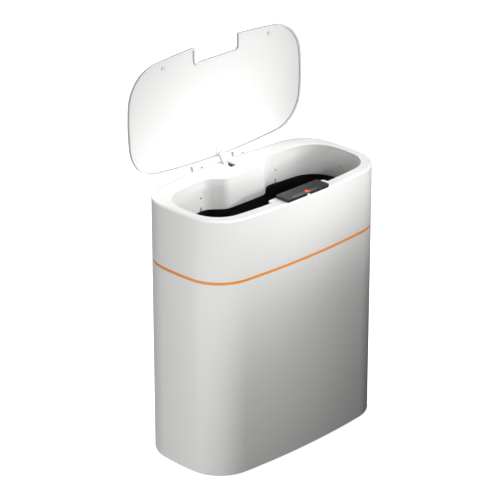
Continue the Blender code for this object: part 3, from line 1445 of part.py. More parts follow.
def make_battery_lead():
    """From the battery box along the foot of the rear wall to the control board."""
    start_x = CAVITY_LOW_X - BOX_WALL - LEAD_END_GAP
    start_y = cell_centres()[0][0]
    room = start_x - OUTER_PLATE_HIGH
    low = TRAY_SEAT + POWER_LEAD_RADIUS
    end_y = control_face() - CONTROL_THICKNESS / 2
    end_x = -CONTROL_LOW_X + LEAD_END_GAP
    step = BOSS_RADIUS
    near = body_rear(end_x + 4 * step, HEAD_WALL) - POWER_LEAD_RADIUS - LEAD_WALL_GAP
    route = [
        (start_x, start_y, low),
        (start_x - room / 4, start_y, low),
        (start_x - room / 2, (start_y + near) / 2, low),
        (start_x - room / 2, near - step / 3, low),
        (OUTER_PLATE_HIGH, near, low),
        (-OUTER_PLATE_HIGH, near, low),
        (end_x + 5 * step, near, low),
        (end_x + 3 * step, near - step / 2, low),
        (end_x + step, end_y, low),
        (end_x, end_y, low),
    ]
    lead("battery_lead", smooth_route(route, 4), POWER_LEAD_RADIUS)


def main():
    clear_scene()
    make_outer_bucket()
    make_feet()
    make_seat_ring()
    make_inner_bucket()
    make_head_shell()
    make_inner_skirt()
    make_drive_tray()
    make_tray_screws()
    make_hinge_pins()
    make_sensor_housing()
    make_sensor_parts()
    lid_pivot = pivot_at("lid_axis", HINGE_Y, HINGE_Z, LID_TURN)
    make_lid(lid_pivot)
    make_lift_lug(lid_pivot)
    make_lid_pads(lid_pivot)
    make_lift_linkage()
    make_output()
    make_compound_gears()
    make_gear_plates()
    make_motor()
    make_motor_rotor()
    make_battery_box()
    make_cells()
    make_contacts()
    make_battery_door()
    make_control_board()
    make_power_switch()
    make_sensor_lead()
    make_motor_lead()
    make_battery_lead()


main()
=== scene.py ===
"""A sensor bin with its lid open: fine shapes and finishes built around the CAD frame."""

import math
from functools import cache

import bmesh
import bpy
from bpy.props import FloatProperty, FloatVectorProperty, PointerProperty
from mathutils import Matrix, Vector


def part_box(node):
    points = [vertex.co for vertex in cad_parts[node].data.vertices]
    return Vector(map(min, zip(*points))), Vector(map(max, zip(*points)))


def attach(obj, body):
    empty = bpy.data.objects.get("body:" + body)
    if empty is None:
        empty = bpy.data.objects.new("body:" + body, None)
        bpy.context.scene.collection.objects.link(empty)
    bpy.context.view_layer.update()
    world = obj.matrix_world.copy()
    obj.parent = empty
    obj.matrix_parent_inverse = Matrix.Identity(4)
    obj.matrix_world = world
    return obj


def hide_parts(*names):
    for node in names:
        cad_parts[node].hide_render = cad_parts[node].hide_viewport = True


bl_info = {
    "name": "Sensor Bin",
    "version": (1, 0, 0),
    "blender": (4, 5, 0),
    "location": "View3D > Sidebar > Sensor Bin",
    "description": "Builds a sensor bin's visible pieces, finishes and studio around its CAD frame",
    "category": "Add Mesh",
}

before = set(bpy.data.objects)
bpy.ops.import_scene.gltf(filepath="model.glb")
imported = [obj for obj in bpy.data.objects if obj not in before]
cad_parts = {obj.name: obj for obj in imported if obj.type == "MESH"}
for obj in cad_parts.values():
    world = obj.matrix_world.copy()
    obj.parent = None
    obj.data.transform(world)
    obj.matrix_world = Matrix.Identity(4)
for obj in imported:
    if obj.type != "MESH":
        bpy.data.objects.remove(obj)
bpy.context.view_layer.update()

# Heights in metres above the floor, those of whole nodes read from the frame
BUCKET_LOW, BUCKET_TOP = (corner.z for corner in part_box("outer_bucket"))
INNER_BOTTOM, INNER_TOP = (corner.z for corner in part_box("inner_bucket"))
SKIRT_BOTTOM, SKIRT_TOP = (corner.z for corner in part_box("inner_skirt"))
TRAY_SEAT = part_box("battery_box")[0].z
BUCKET_FLOOR = 0.0040
SEAM = 0.2733
RING_TOP = 0.2763
HEAD_BOTTOM = 0.2766
CEILING = 0.3575
RIM_TOP = 0.3600

# Gaps between pieces, and how far a cutter runs past what it cuts
GAP = 0.0003
SHAFT_GAP = 0.0001
SLIDE_GAP = 0.00035
OVERRUN = 0.0020

# Closed lid, the painted shade on the sides of its lip, and its hinge
LID_BOTTOM = 0.3603
LID_SIDE_INSET = 0.0007
LID_FRONT_INSET = 0.0021
LID_REAR_INSET = 0.0003
LID_SKIN = 0.0015
LID_DISH = 0.0019
LIP_FADE = 0.0002
LIP_SHADE = 0.42
HINGE = Vector((0.0, 0.0839, 0.3628))
HINGE_X = 0.0370
HINGE_SIDES = (-HINGE_X, HINGE_X)
PIN_RADIUS = 0.0012
EAR_RADIUS = 0.0034
EAR_WIDTH = 0.0040
KNUCKLE_RADIUS = 0.0032
KNUCKLE_WIDTH = 0.0120
KNUCKLE_GAP = 0.0004
EYE_ROUND = 0.0003
EAR_REACH = KNUCKLE_WIDTH / 2 + KNUCKLE_GAP + EAR_WIDTH
LID_NOTCH_GAP = 0.0009
HINGE_NOTCH = -EAR_RADIUS - LID_NOTCH_GAP

# Bulge of the mouth's rear side, which hides the drive
BULGE_DEPTH = 0.0207
BULGE_BASE_HALF = 0.0555
BULGE_FRONT_HALF = 0.0340
BULGE_BASE_ROUND = 0.0200
BULGE_FRONT_ROUND = 0.0180

# Clip marks on the mouth's skirt: from the bulge, from the right end, and behind the middle
CLIP_LEFT = 0.0089
CLIP_RIGHT = 0.0708
CLIP_BEHIND = 0.0052

# Sensor housing, and the lid's notch for it
SENSOR_HALF_LENGTH = 0.0376
SENSOR_FRONT = -0.0815
SENSOR_REAR = -0.0595
SENSOR_CORNER = 0.0018
SENSOR_LID_GAP = 0.0008
KEY_BACK = 0.0009
NOTCH_DEPTH = 0.0220
NOTCH_INNER_ROUND = 0.0045
NOTCH_OUTER_ROUND = 0.0020
LEAST_ROUND = 0.0002

# Paler strip along the housing's front, painted shade on the housing's sides below its top, and the status
# lamp with a painted red glow round it
STRIP_COLOUR = (0.135, 0.132, 0.135)
STRIP_REAR = (-0.0757, -0.0777)
STRIP_RIGHT = (0.0180, 0.00891)
STRIP_LEFT = (-0.0290, -0.02733)
HOUSING_TOP = (0.3641, 0.3645)
LENS_CENTRE = (-0.0190, -0.0785)
LENS_FADE = (0.0095, 0.0019)
LAMP_CENTRE = (0.0, -0.0778)
LAMP_RADIUS = 0.0026
LAMP_HOLE_RADIUS = 0.0023
PAINTED_GLOW_CENTRE = (0.0002, -0.0787)
PAINTED_GLOW_FADE = (0.0052, 0.00182)
GLOW_SPECK_CENTRE = (-0.0020, -0.0677)
GLOW_SPECK_RADIUS = 0.0020
LAMP_LIGHT = (0.90, 0.06, 0.05)
LAMP_STRENGTH = 0.9

# Tongue under the housing, tray screws, hole for the sensor's lead, switch and feet
TONGUE_HALF_LENGTH = 0.0510
TONGUE_REACH = 0.0098
TONGUE_ROUND = 0.0050
BOSS_RADIUS = 0.0032
BOSS_ROOT = 0.0005
SCREW_RADIUS = 0.0014
SCREW_LENGTH = 0.0140
LEAD_HOLE = (-0.0280, -0.0715)
LEAD_HOLE_RADIUS = 0.0016
SWITCH_TRAVEL = 0.0050
SCREWS = [f"tray_screw_{row}_{side}" for row in ("inner", "outer") for side in ("left", "right")]
LIP_ROUND = 0.0004
FOOT_HEIGHT = 0.0019
FOOT_RADIUS = 0.0080
FEET = [f"foot_{row}_{side}" for row in ("front", "rear") for side in ("left", "right")]

# Steps along the smooth outlines and rounds, and the angles from which an edge counts as sharp
END_STEPS = 8
CORNER_STEPS = 32
SIDE_STEPS = 14
FILLET_STEPS = 12
ROUND_STEPS = 6
CIRCLE_STEPS = 48
SMOOTH_ANGLE = math.radians(32)
BEVEL_ANGLE = math.radians(35)

# Floor, and the camera, whose aim is a point moved along the picture's right and up
FLOOR_HALF = 30.0
FLOOR_SQUARES = 12
CAMERA_SENSOR = 36.0
CAMERA_LENS = 189.3
CAMERA_AIM = Vector((0, 0, 0.18))
CAMERA_RIGHT = -0.01706
CAMERA_UP = 0.07142


# Sizes, colours and studio that a user can change


def length_property(name, description, default):
    return FloatProperty(name=name, description=description, default=default, unit="LENGTH")


def angle_property(name, description, degrees):
    return FloatProperty(name=name, description=description, default=math.radians(degrees), unit="ROTATION")


def colour_property(name, description, default):
    return FloatVectorProperty(
        name=name, description=description, default=default, size=3, min=0, max=1, subtype="COLOR"
    )


class BinSizes(bpy.types.PropertyGroup):
    """Main sizes of the bin."""

    half_length: length_property("Half length", "Half the bin's length from end to end", 0.1563)
    half_depth: length_property("Half depth", "Half the bin's depth from front to rear", 0.0820)
    corner: length_property("Corner radius", "Radius of the bin's upright corners", 0.0527)
    end_bow: length_property("End bow", "Radius of the slightly bowed end faces", 0.3076)
    side_bow: length_property("Side bow", "Radius of the slightly bowed front and rear faces", 1.0710)
    wall: length_property("Wall", "Wall of the outer bucket and of the head", 0.0022)
    base_round: length_property("Base round", "Rounding of the outer bucket's bottom edge", 0.0025)
    rim_round: length_property("Rim round", "Rounding of the rim's outer edge", 0.0030)
    mouth_round: length_property("Mouth round", "Rounding of the rim's inner edge at the mouth", 0.0005)
    end_rim: length_property("End rim", "Width of the rim at the two ends", 0.0135)
    front_rim: length_property("Front rim", "Width of the rim at the front", 0.0149)
    rear_rim: length_property("Rear rim", "Width of the rim at the rear", 0.0308)
    mouth_corner: length_property("Mouth corner", "Radius of the mouth's corners", 0.0406)
    lid_thickness: length_property("Lid thickness", "Thickness of the lid at its edge", 0.0047)
    lid_lip: length_property("Lid lip", "Width of the raised lip round the lid's underside", 0.0032)
    lid_open: angle_property("Lid opening", "Angle at which the lid stands open", 90.6)


class BinColours(bpy.types.PropertyGroup):
    """Base colours of the bin's finishes."""

    shell: colour_property("Shell", "White plastic of the bucket and the head", (0.80, 0.797, 0.785))
    lid: colour_property("Lid", "White plastic of the lid", (0.86, 0.857, 0.85))
    ring: colour_property("Ring", "Orange plastic of the ring at the seam", (0.96, 0.31, 0.015))
    bucket: colour_property("Inner bucket", "Black plastic of the inner bucket", (0.022, 0.022, 0.023))
    cover: colour_property("Sensor cover", "Smoke grey plastic of the sensor housing", (0.036, 0.036, 0.037))
    window: colour_property("Sensor window", "Dark filter over the sensors", (0.050, 0.049, 0.050))
    lamp: colour_property("Status lamp", "Red lens of the status lamp", (0.90, 0.05, 0.045))
    nylon: colour_property("Nylon", "Natural nylon of the gears and the linkage", (0.78, 0.77, 0.73))
    board: colour_property("Circuit board", "Green lacquer of the boards", (0.02, 0.13, 0.055))


class BinStudio(bpy.types.PropertyGroup):
    """Camera and light of the studio."""

    azimuth: angle_property("Azimuth", "Direction of the camera round the bin", -44.96)
    elevation: angle_property("Elevation", "Height of the camera above the horizon, as an angle", 24.07)
    distance: length_property("Distance", "Distance of the camera from the point it looks at", 3.455)
    light: FloatProperty(
        name="Light",
        description="Share of the studio lights' strength",
        default=1.0,
        min=0.0,
        subtype="FACTOR",
    )


def sizes():
    return bpy.context.scene.bin_sizes


def colours():
    return bpy.context.scene.bin_colours


# Outlines in a plane, counterclockwise


def arc(centre, radius, start, end, steps):
    """Points along an arc, both ends included."""
    turn = (end - start) / steps
    angles = [start + turn * i for i in range(steps + 1)]
    return [Vector(centre) + radius * Vector((math.cos(a), math.sin(a))) for a in angles]


def circle(centre, radius, steps=CIRCLE_STEPS):
    return arc(centre, radius, 0, 2 * math.pi, steps)[:-1]


def rectangle(low_u, high_u, low_v, high_v):
    return [Vector(p) for p in ((low_u, low_v), (high_u, low_v), (high_u, high_v), (low_u, high_v))]


def mirrored(points):
    """The points mirrored from right to left, in reverse order."""
    return [Vector((-p.x, p.y)) for p in reversed(points)]


def bowed_outline(half_length, half_depth, end_bow, side_bow, corner, centre_y=0.0):
    """A rectangle with bowed sides, whose corner arcs run smoothly into the bows."""
    end_centre = Vector((half_length - end_bow, 0))
    side_centre = Vector((0, half_depth - side_bow))
    span = side_centre - end_centre
    end_reach = end_bow - corner
    along = (span.length_squared - (side_bow - corner) ** 2 + end_reach**2) / (2 * span.length)
    across = math.sqrt(end_reach**2 - along**2)
    direction = span.normalized()
    foot = end_centre + direction * along
    side = Vector((-direction.y, direction.x)) * across
    middle = max((foot + side, foot - side), key=lambda p: p.x + p.y)
    first = math.atan2(*(middle - end_centre).yx)
    second = math.atan2(*(middle - side_centre).yx)
    quarter = arc(end_centre, end_bow, 0, first, END_STEPS)
    quarter += arc(middle, corner, first, second, CORNER_STEPS)[1:]
    quarter += arc(side_centre, side_bow, second, math.pi / 2, SIDE_STEPS)[1:]
    upper = quarter + mirrored(quarter[:-1])
    lower = [-p for p in upper[1:-1]]
    return [p + Vector((0, centre_y)) for p in upper + lower]


def inset(points, distance):
    """A closed outline moved inwards by distance, square to each of its sides."""
    moved = []
    for i, point in enumerate(points):
        before = (point - points[i - 1]).normalized()
        after = (points[(i + 1) % len(points)] - point).normalized()
        inward = Vector((-before.y - after.y, before.x + after.x))
        moved.append(point + inward * (distance / (1 + before.dot(after))))
    return moved


def rounded(points, radii, closed=True, steps=FILLET_STEPS):
    """The outline with a fillet at each point. An open path keeps its two end points."""
    result = []
    for i, (point, radius) in enumerate(zip(points, radii)):
        if radius == 0 or (not closed and i in (0, len(points) - 1)):
            result.append(point)
            continue
        back = (points[i - 1] - point).normalized()
        ahead = (points[(i + 1) % len(points)] - point).normalized()
        half = math.acos(max(-1, min(1, back.dot(ahead)))) / 2
        middle = point + (back + ahead).normalized() * (radius / math.sin(half))
        start = point + back * (radius / math.tan(half)) - middle
        end = point + ahead * (radius / math.tan(half)) - middle
        sweep = math.atan2(start.x * end.y - start.y * end.x, start.dot(end))
        first = math.atan2(start.y, start.x)
        result += arc(middle, radius, first, first + sweep, steps)
    return result


def rounded_rectangle(low_u, high_u, low_v, high_v, radius):
    return rounded(rectangle(low_u, high_u, low_v, high_v), [radius] * 4)


def slot_outline(start, end, half_width, steps=6):
    """A slot with round ends between two points of a plane."""
    start, end = Vector(start), Vector(end)
    along = math.atan2(end.y - start.y, end.x - start.x)
    quarter = math.pi / 2
    first = arc(end, half_width, along - quarter, along + quarter, steps)
    return first + arc(start, half_width, along + quarter, along + 3 * quarter, steps)


def bow_depth(x, radius):
    """How far a bow has fallen back at a distance x from its middle."""
    return radius - math.sqrt(radius**2 - x**2)


def crossings(outline, x):
    """The Y values at which an outline crosses x."""
    found = []
    for a, b in zip(outline, outline[1:] + outline[:1]):
        if (a.x - x) * (b.x - x) <= 0 and a.x != b.x:
            found.append(a.lerp(b, (x - a.x) / (b.x - a.x)).y)
    return found


def run_of(outline, chosen):
    """Where a run of chosen points starts in an outline, and where the outline goes on after it."""
    places = [i for i, point in enumerate(outline) if chosen(point)]
    return places[0], places[-1] + 1


def body_outline(distance=0.0):
    s = sizes()
    return inset(bowed_outline(s.half_length, s.half_depth, s.end_bow, s.side_bow, s.corner), distance)


def mouth_limits():
    """Front and rear Y of the mouth."""
    s = sizes()
    return -s.half_depth + s.front_rim, s.half_depth - s.rear_rim


def mouth_outline(distance=0.0):
    """The mouth's outline with the drive's bulge let into its rear side."""
    s = sizes()
    front, rear = mouth_limits()
    side_bow = s.side_bow - s.front_rim
    plain = bowed_outline(
        s.half_length - s.end_rim,
        (rear - front) / 2,
        s.end_bow - s.end_rim,
        side_bow,
        s.mouth_corner,
        (front + rear) / 2,
    )
    lead_in = BULGE_BASE_HALF + BULGE_BASE_ROUND
    corners = [
        Vector((lead_in, rear - bow_depth(lead_in, side_bow))),
        Vector((BULGE_BASE_HALF, rear - bow_depth(BULGE_BASE_HALF, side_bow))),
        Vector((BULGE_FRONT_HALF, rear - BULGE_DEPTH)),
    ]
    radii = [0, BULGE_BASE_ROUND, BULGE_FRONT_ROUND]
    bulge = rounded(corners + mirrored(corners), radii + radii[::-1], closed=False)
    start, end = run_of(plain, lambda p: p.y > rear / 2 and abs(p.x) < lead_in)
    return inset(plain[:start] + bulge + plain[end:], distance)


def lid_outline(distance=0.0):
    """The closed lid's outline from the hinge, with the notch for the sensor housing."""
    s = sizes()
    bow = s.side_bow - LID_FRONT_INSET
    half_depth = s.half_depth - (LID_FRONT_INSET + LID_REAR_INSET) / 2
    centre = (LID_FRONT_INSET - LID_REAR_INSET) / 2
    front = centre - half_depth
    plain = bowed_outline(
        s.half_length - LID_SIDE_INSET,
        half_depth,
        s.end_bow - LID_SIDE_INSET,
        bow,
        s.corner - LID_SIDE_INSET,
        centre,
    )
    half = SENSOR_HALF_LENGTH + SENSOR_LID_GAP
    clear = half + s.lid_lip + 3 * NOTCH_OUTER_ROUND
    start, end = run_of(plain, lambda p: p.y < front / 2 and abs(p.x) < clear)
    plain = inset(plain, distance)
    edge = front + bow_depth(half, bow) + distance
    corners = [
        Vector((-half - distance - 2 * NOTCH_OUTER_ROUND, edge)),
        Vector((-half - distance, edge)),
        Vector((-half - distance, front + NOTCH_DEPTH + distance)),
    ]
    radii = [0, max(NOTCH_OUTER_ROUND - distance, LEAST_ROUND), NOTCH_INNER_ROUND + distance]
    notch = rounded(corners + mirrored(corners), radii + radii[::-1], closed=False)
    return [p - Vector((0, HINGE.y)) for p in plain[:start] + notch + plain[end:]]


def sensor_outline(distance=0.0):
    half = SENSOR_HALF_LENGTH - distance
    radius = max(SENSOR_CORNER - distance, LEAST_ROUND)
    return rounded_rectangle(-half, half, SENSOR_FRONT + distance, SENSOR_REAR - distance, radius)


# Meshes


def edited(mesh, *edits):
    """Makes edits to a mesh and faces it outwards."""
    work = bmesh.new()
    work.from_mesh(mesh)
    for edit in edits:
        edit(work)
    bmesh.ops.recalc_face_normals(work, faces=work.faces)
    work.to_mesh(mesh)
    work.free()
    return mesh


def merge_points(work, distance=1e-6):
    bmesh.ops.remove_doubles(work, verts=work.verts, dist=distance)
    bmesh.ops.dissolve_degenerate(work, edges=work.edges, dist=distance)


def softened(mesh, width):
    """Rounds every sharp edge of a plain mesh."""

    def bevel(work):
        edges = [e for e in work.edges if e.is_manifold and e.calc_face_angle(0) > BEVEL_ANGLE]
        settings = {"segments": 2, "profile": 0.5, "affect": "EDGES", "clamp_overlap": True}
        bmesh.ops.bevel(work, geom=edges, offset=width, **settings)

    return edited(mesh, bevel)


def lofted(loops, ring=False):
    """A mesh through successive loops of as many points, capped at both ends unless it is a ring."""
    size = len(loops[0])
    vertices = [p for loop in loops for p in loop]
    faces = []
    for low in range(len(loops) if ring else len(loops) - 1):
        high = (low + 1) % len(loops)
        for i in range(size):
            j = (i + 1) % size
            faces.append((low * size + i, low * size + j, high * size + j, high * size + i))
    if not ring:
        faces.append(tuple(range(size)))
        faces.append(tuple(range(len(vertices) - size, len(vertices))))
    mesh = bpy.data.meshes.new("loft")
    mesh.from_pydata(vertices, [], faces)
    return edited(mesh)


def on_plane(plane, point, height):
    """The place of a point of a plane, at a height along the third axis."""
    if plane == "XY":
        return (point.x, point.y, height)
    if plane == "YZ":
        return (height, point.x, point.y)
    return (point.y, height, point.x)


def prism(outline, low, high, plane="XY"):
    return lofted([[on_plane(plane, p, h) for p in outline] for h in (low, high)])


def box(low_x, high_x, low_y, high_y, low_z, high_z):
    return prism(rectangle(low_x, high_x, low_y, high_y), low_z, high_z)


def rod(centre, radius, low, high, plane="XY", steps=CIRCLE_STEPS):
    return prism(circle(centre, radius, steps), low, high, plane)


def turned(centre, profile, plane="XY", steps=CIRCLE_STEPS):
    """A solid of revolution. Its profile is a list of radii and heights."""
    return lofted([[on_plane(plane, p, h) for p in circle(centre, r, steps)] for r, h in profile])


def walls(outline_at, profile, ring=False, steps=ROUND_STEPS):
    """A shell whose outline depends on the inset. Its profile is insets, heights and fillets."""
    corners = [Vector((distance, height)) for distance, height, _ in profile]
    path = rounded(corners, [fillet for *_, fillet in profile], closed=ring, steps=steps)
    outlines = {}
    loops = []
    for point in path:
        key = round(point.x, 7)
        if key not in outlines:
            outlines[key] = outline_at(point.x)
        loops.append([(p.x, p.y, point.y) for p in outlines[key]])
    return lofted(loops, ring)


# Pieces


def new_object(name, data):
    item = bpy.data.objects.new(name, data)
    bpy.context.scene.collection.objects.link(item)
    return item


def carve(item, operation, *meshes):
    """Adds Booleans that join, cut or keep what lies in each mesh."""
    for mesh in meshes:
        helper = new_object("helper", mesh)
        helper.hide_render = True
        modifier = item.modifiers.new(operation, "BOOLEAN")
        modifier.operation = operation
        modifier.solver = "EXACT"
        modifier.object = helper


def join(item, *meshes):
    carve(item, "UNION", *meshes)


def cut(item, *meshes):
    carve(item, "DIFFERENCE", *meshes)


def keep(item, *meshes):
    carve(item, "INTERSECT", *meshes)


def settle(item):
    """Turns the piece with its Booleans into one plain mesh."""
    helpers = [m.object for m in item.modifiers if m.type == "BOOLEAN"]
    if helpers:
        graph = bpy.context.evaluated_depsgraph_get()
        mesh = bpy.data.meshes.new_from_object(item.evaluated_get(graph))
        item.modifiers.clear()
        item.data = mesh
        for helper in helpers:
            bpy.data.objects.remove(helper)
    edited(item.data, merge_points)
    if len(item.data.polygons) < 6:
        raise RuntimeError(f"{item.name} came out empty")


def swing_open(item):
    """Settles a piece shaped on the closed lid, and turns it to where the open lid stands."""
    settle(item)
    turn = Matrix.Rotation(-sizes().lid_open, 4, "X")
    item.data.transform(Matrix.Translation(HINGE) @ turn)


def dress(mesh, finish):
    """Gives a mesh its finish, with smooth shading between sharp edges."""
    mesh.materials.clear()
    mesh.materials.append(finish_of(finish))
    mesh.shade_smooth()
    mesh.set_sharp_from_angle(angle=SMOOTH_ANGLE)


def finished(item, body, slot, *nodes, finish=None):
    """Settles a piece, dresses it and puts it on its body in place of its CAD nodes."""
    settle(item)
    item.data.name = item.name
    dress(item.data, finish or slot)
    item.modifiers.new("Even faces", "WEIGHTED_NORMAL").keep_sharp = True
    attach(item, body)
    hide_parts(*nodes)


def dress_nodes(slot, *names):
    """Dresses CAD nodes that stay in view."""
    for name in names:
        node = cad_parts[name]
        dress(node.data, slot)


def middle_of(node):
    low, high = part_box(node)
    return (low + high) / 2


# Finishes


class Signal:
    """An output of a finish's nodes, which can stand in Python sums."""

    def __init__(self, finish, socket):
        self.finish = finish
        self.socket = socket

    def maths(self, operation, first, second):
        return self.finish.node("ShaderNodeMath", {"operation": operation}, {0: first, 1: second})

    def __add__(self, other):
        return self.maths("ADD", self, other)

    def __radd__(self, other):
        return self.maths("ADD", other, self)

    def __sub__(self, other):
        return self.maths("SUBTRACT", self, other)

    def __rsub__(self, other):
        return self.maths("SUBTRACT", other, self)

    def __mul__(self, other):
        return self.maths("MULTIPLY", self, other)

    def __rmul__(self, other):
        return self.maths("MULTIPLY", other, self)

    def __pow__(self, other):
        return self.maths("POWER", self, other)

    def over(self, limit):
        return self.maths("GREATER_THAN", self, limit)

    def under(self, limit):
        return self.maths("LESS_THAN", self, limit)


class Finish:
    """A material with its node tree."""

    def __init__(self, name):
        self.material = bpy.data.materials.new(name)
        self.material.use_nodes = True
        self.tree = self.material.node_tree
        self.shader = self.tree.nodes["Principled BSDF"]
        self.place = self.node("ShaderNodeTexCoord", {}, {}, "Object")

    def link(self, socket, value):
        if isinstance(value, Signal):
            self.tree.links.new(value.socket, socket)
        else:
            socket.default_value = value

    def node(self, kind, settings, sockets, output=0):
        """Adds a node, with its settings first and then the values or links of its sockets."""
        made = self.tree.nodes.new(kind)
        for name, value in settings.items():
            setattr(made, name, value)
        for name, value in sockets.items():
            self.link(made.inputs[name], value)
        return Signal(self, made.outputs[output])

    def paint(self, **values):
        """Sets or links the shader's sockets, and returns the material. An underscore is a space."""
        for name, value in values.items():
            socket = self.shader.inputs[name.replace("_", " ")]
            if not isinstance(value, Signal) and socket.type == "RGBA":
                value = (*value, 1.0)
            self.link(socket, value)
        return self.material

    def noise(self, scale, detail=2.0, place=None):
        """Noise about zero, from about -0.5 to 0.5."""
        sockets = {"Vector": place or self.place, "Scale": scale, "Detail": detail}
        return self.node("ShaderNodeTexNoise", {}, sockets) - 0.5

    def cells(self, scale):
        """Distance from the nearest of many scattered points."""
        return self.node("ShaderNodeTexVoronoi", {}, {"Vector": self.place, "Scale": scale})

    def stretched(self, x, y, z):
        """The place on the piece, stretched along its axes."""
        settings = {"operation": "MULTIPLY"}
        return self.node("ShaderNodeVectorMath", settings, {0: self.place, 1: (x, y, z)})

    def axis(self, name):
        """The X, Y or Z of the place on the piece, in metres."""
        return self.node("ShaderNodeSeparateXYZ", {}, {0: self.place}, name)

    def distance_from(self, point):
        """Distance in XY from a point, in metres."""
        across = self.axis("X") - point[0]
        along = self.axis("Y") - point[1]
        return (across * across + along * along) ** 0.5

    def tinted(self, colour, tone):
        """A colour, given as a value or a signal, made lighter or darker by a signal."""
        return self.node("ShaderNodeVectorMath", {"operation": "SCALE"}, {0: colour, 3: tone})

    def mixed(self, factor, first, second):
        """Two colours mixed by a signal. Each colour is a value or a signal."""
        values = [c if isinstance(c, Signal) else (*c, 1.0) for c in (first, second)]
        settings = {"data_type": "RGBA"}
        return self.node("ShaderNodeMix", settings, {0: factor, 6: values[0], 7: values[1]}, 2)

    def clamped(self, value, low, high):
        """A signal's share of the way from low to high, kept within 0 and 1."""
        sockets = {"Value": value, "From Min": low, "From Max": high}
        return self.node("ShaderNodeMapRange", {"interpolation_type": "SMOOTHSTEP"}, sockets)

    def raised(self, height, strength, distance):
        """A normal from a height signal."""
        sockets = {"Height": height, "Strength": strength, "Distance": distance}
        return self.node("ShaderNodeBump", {}, sockets)


def moulded(name, colour, roughness, grain, gloss=0.0, spread=0.03, shade=None):
    """Moulded plastic: spark-eroded grain, slow flow marks, uneven sheen and perhaps a painted shade in
    places.
    """
    finish = Finish(name)
    flow = finish.noise(7.0, 3.0, finish.stretched(1.0, 1.0, 0.45))
    cloud = finish.noise(42.0, 3.0)
    fine = finish.noise(2300.0)
    sparks = finish.noise(5200.0, 1.0)
    tone = 1.0 + flow * spread + cloud * (spread / 3) + fine * (spread / 2)
    if shade:
        tone = tone * shade(finish)
    return finish.paint(
        Base_Color=finish.tinted(colour, tone),
        Roughness=roughness + cloud * 0.07 + fine * 0.08,
        Normal=finish.raised(fine * 0.7 + sparks * 0.3, grain, 0.00012),
        Coat_Weight=gloss,
        Coat_Roughness=0.22,
        Specular_IOR_Level=0.5,
    )


def mottled(
    name, colour, roughness, patch, tone, sheen, grain, relief,
    detail=4.0, depth=0.0001, fleck=0.0, swell=0.0, **more
):
    """Soft patches in colour and sheen, with fine grain over them."""
    finish = Finish(name)
    patches = finish.noise(patch, detail)
    fine = finish.noise(grain)
    return finish.paint(
        Base_Color=finish.tinted(colour, 1.0 + patches * tone + fine * fleck),
        Roughness=roughness + patches * sheen,
        Normal=finish.raised(fine + patches * swell, relief, depth),
        **more,
    )


def shell_finish():
    return moulded("White shell plastic", colours().shell, 0.40, 0.25)


def lid_finish():
    return moulded("White lid plastic", colours().lid, 0.33, 0.18, gloss=0.12, spread=0.02)


def lip_shade(finish):
    """A painted shade: a greyer tone down the upright sides of the open lid's lip."""
    turn = sizes().lid_open
    across = (finish.axis("Y") - HINGE.y) * math.sin(turn)
    depth = across + (finish.axis("Z") - HINGE.z) * math.cos(turn) + (HINGE.z - LID_BOTTOM)
    top = sizes().lid_thickness
    # Painted shade on the lip's upright sides, between the lid's underside and its top
    side = finish.clamped(depth, LIP_FADE, 3 * LIP_FADE) * finish.clamped(depth, top, top - 3 * LIP_FADE)
    return 1.0 - side * LIP_SHADE


def lid_skin_finish():
    colour = tuple(c * 0.97 for c in colours().lid)
    return moulded("White lid skin", colour, 0.40, 0.20, shade=lip_shade)


def ring_finish():
    return moulded("Orange ring plastic", colours().ring, 0.50, 0.12, spread=0.06)


def bucket_finish():
    """Black polypropylene with a leather-like grain and faint scuffs."""
    finish = Finish("Black bucket plastic")
    cloud = finish.noise(35.0, 4.0)
    scuffs = finish.noise(240.0, 5.0, finish.stretched(0.12, 1.0, 1.0))
    marked = finish.clamped(scuffs, 0.16, 0.30)
    base = finish.tinted(colours().bucket, 1.0 + cloud * 0.5)
    worn = tuple(c * 2.6 for c in colours().bucket)
    return finish.paint(
        Base_Color=finish.mixed(marked * 0.5, base, worn),
        Roughness=0.52 + cloud * 0.12 - marked * 0.1,
        Normal=finish.raised(finish.cells(1500.0), 0.35, 0.00015),
    )


def lens_strip(finish):
    """Share of the paler strip that runs along the front of the housing, over the sensors."""
    x = finish.axis("X")
    ahead = finish.clamped(finish.axis("Y"), *STRIP_REAR)
    within = finish.clamped(x, *STRIP_RIGHT) * finish.clamped(x, *STRIP_LEFT)
    lens = finish.clamped(finish.distance_from(LENS_CENTRE), *LENS_FADE)
    return ahead * within * (0.65 + lens * 0.25)


def painted_lamp_glow(finish):
    """Share of the painted red glow round the status lamp."""
    return finish.clamped(finish.distance_from(PAINTED_GLOW_CENTRE), *PAINTED_GLOW_FADE)


def cover_finish():
    """Smoke grey plastic of the sensor housing, with painted shade on its sides below its top and a painted
    red glow round the lamp on its top.
    """
    finish = Finish("Smoke cover plastic")
    fine = finish.noise(2600.0)
    cloud = finish.noise(90.0, 3.0)
    glow_speck = finish.clamped(finish.distance_from(GLOW_SPECK_CENTRE), GLOW_SPECK_RADIUS, 0.0)
    top = finish.clamped(finish.axis("Z"), *HOUSING_TOP)
    # Painted shade: below its top edge the housing's sides take half the cover's colour
    side = tuple(c * 0.5 for c in colours().cover)
    plain = finish.mixed(top, side, colours().cover)
    pale = finish.mixed(lens_strip(finish) * top, plain, STRIP_COLOUR)
    # Painted red glow round the status lamp and a small painted glow near it, on the housing's top only
    glow = (painted_lamp_glow(finish) * 0.8 + glow_speck * glow_speck * 0.3) * top
    return finish.paint(
        Base_Color=finish.tinted(pale, 1.0 + cloud * 0.18 + fine * 0.12),
        Roughness=0.42 + cloud * 0.10,
        Normal=finish.raised(fine, 0.25, 0.00012),
        Coat_Weight=0.08,
        Coat_Roughness=0.25,
        Emission_Color=finish.tinted(LAMP_LIGHT, glow),
        Emission_Strength=LAMP_STRENGTH,
    )


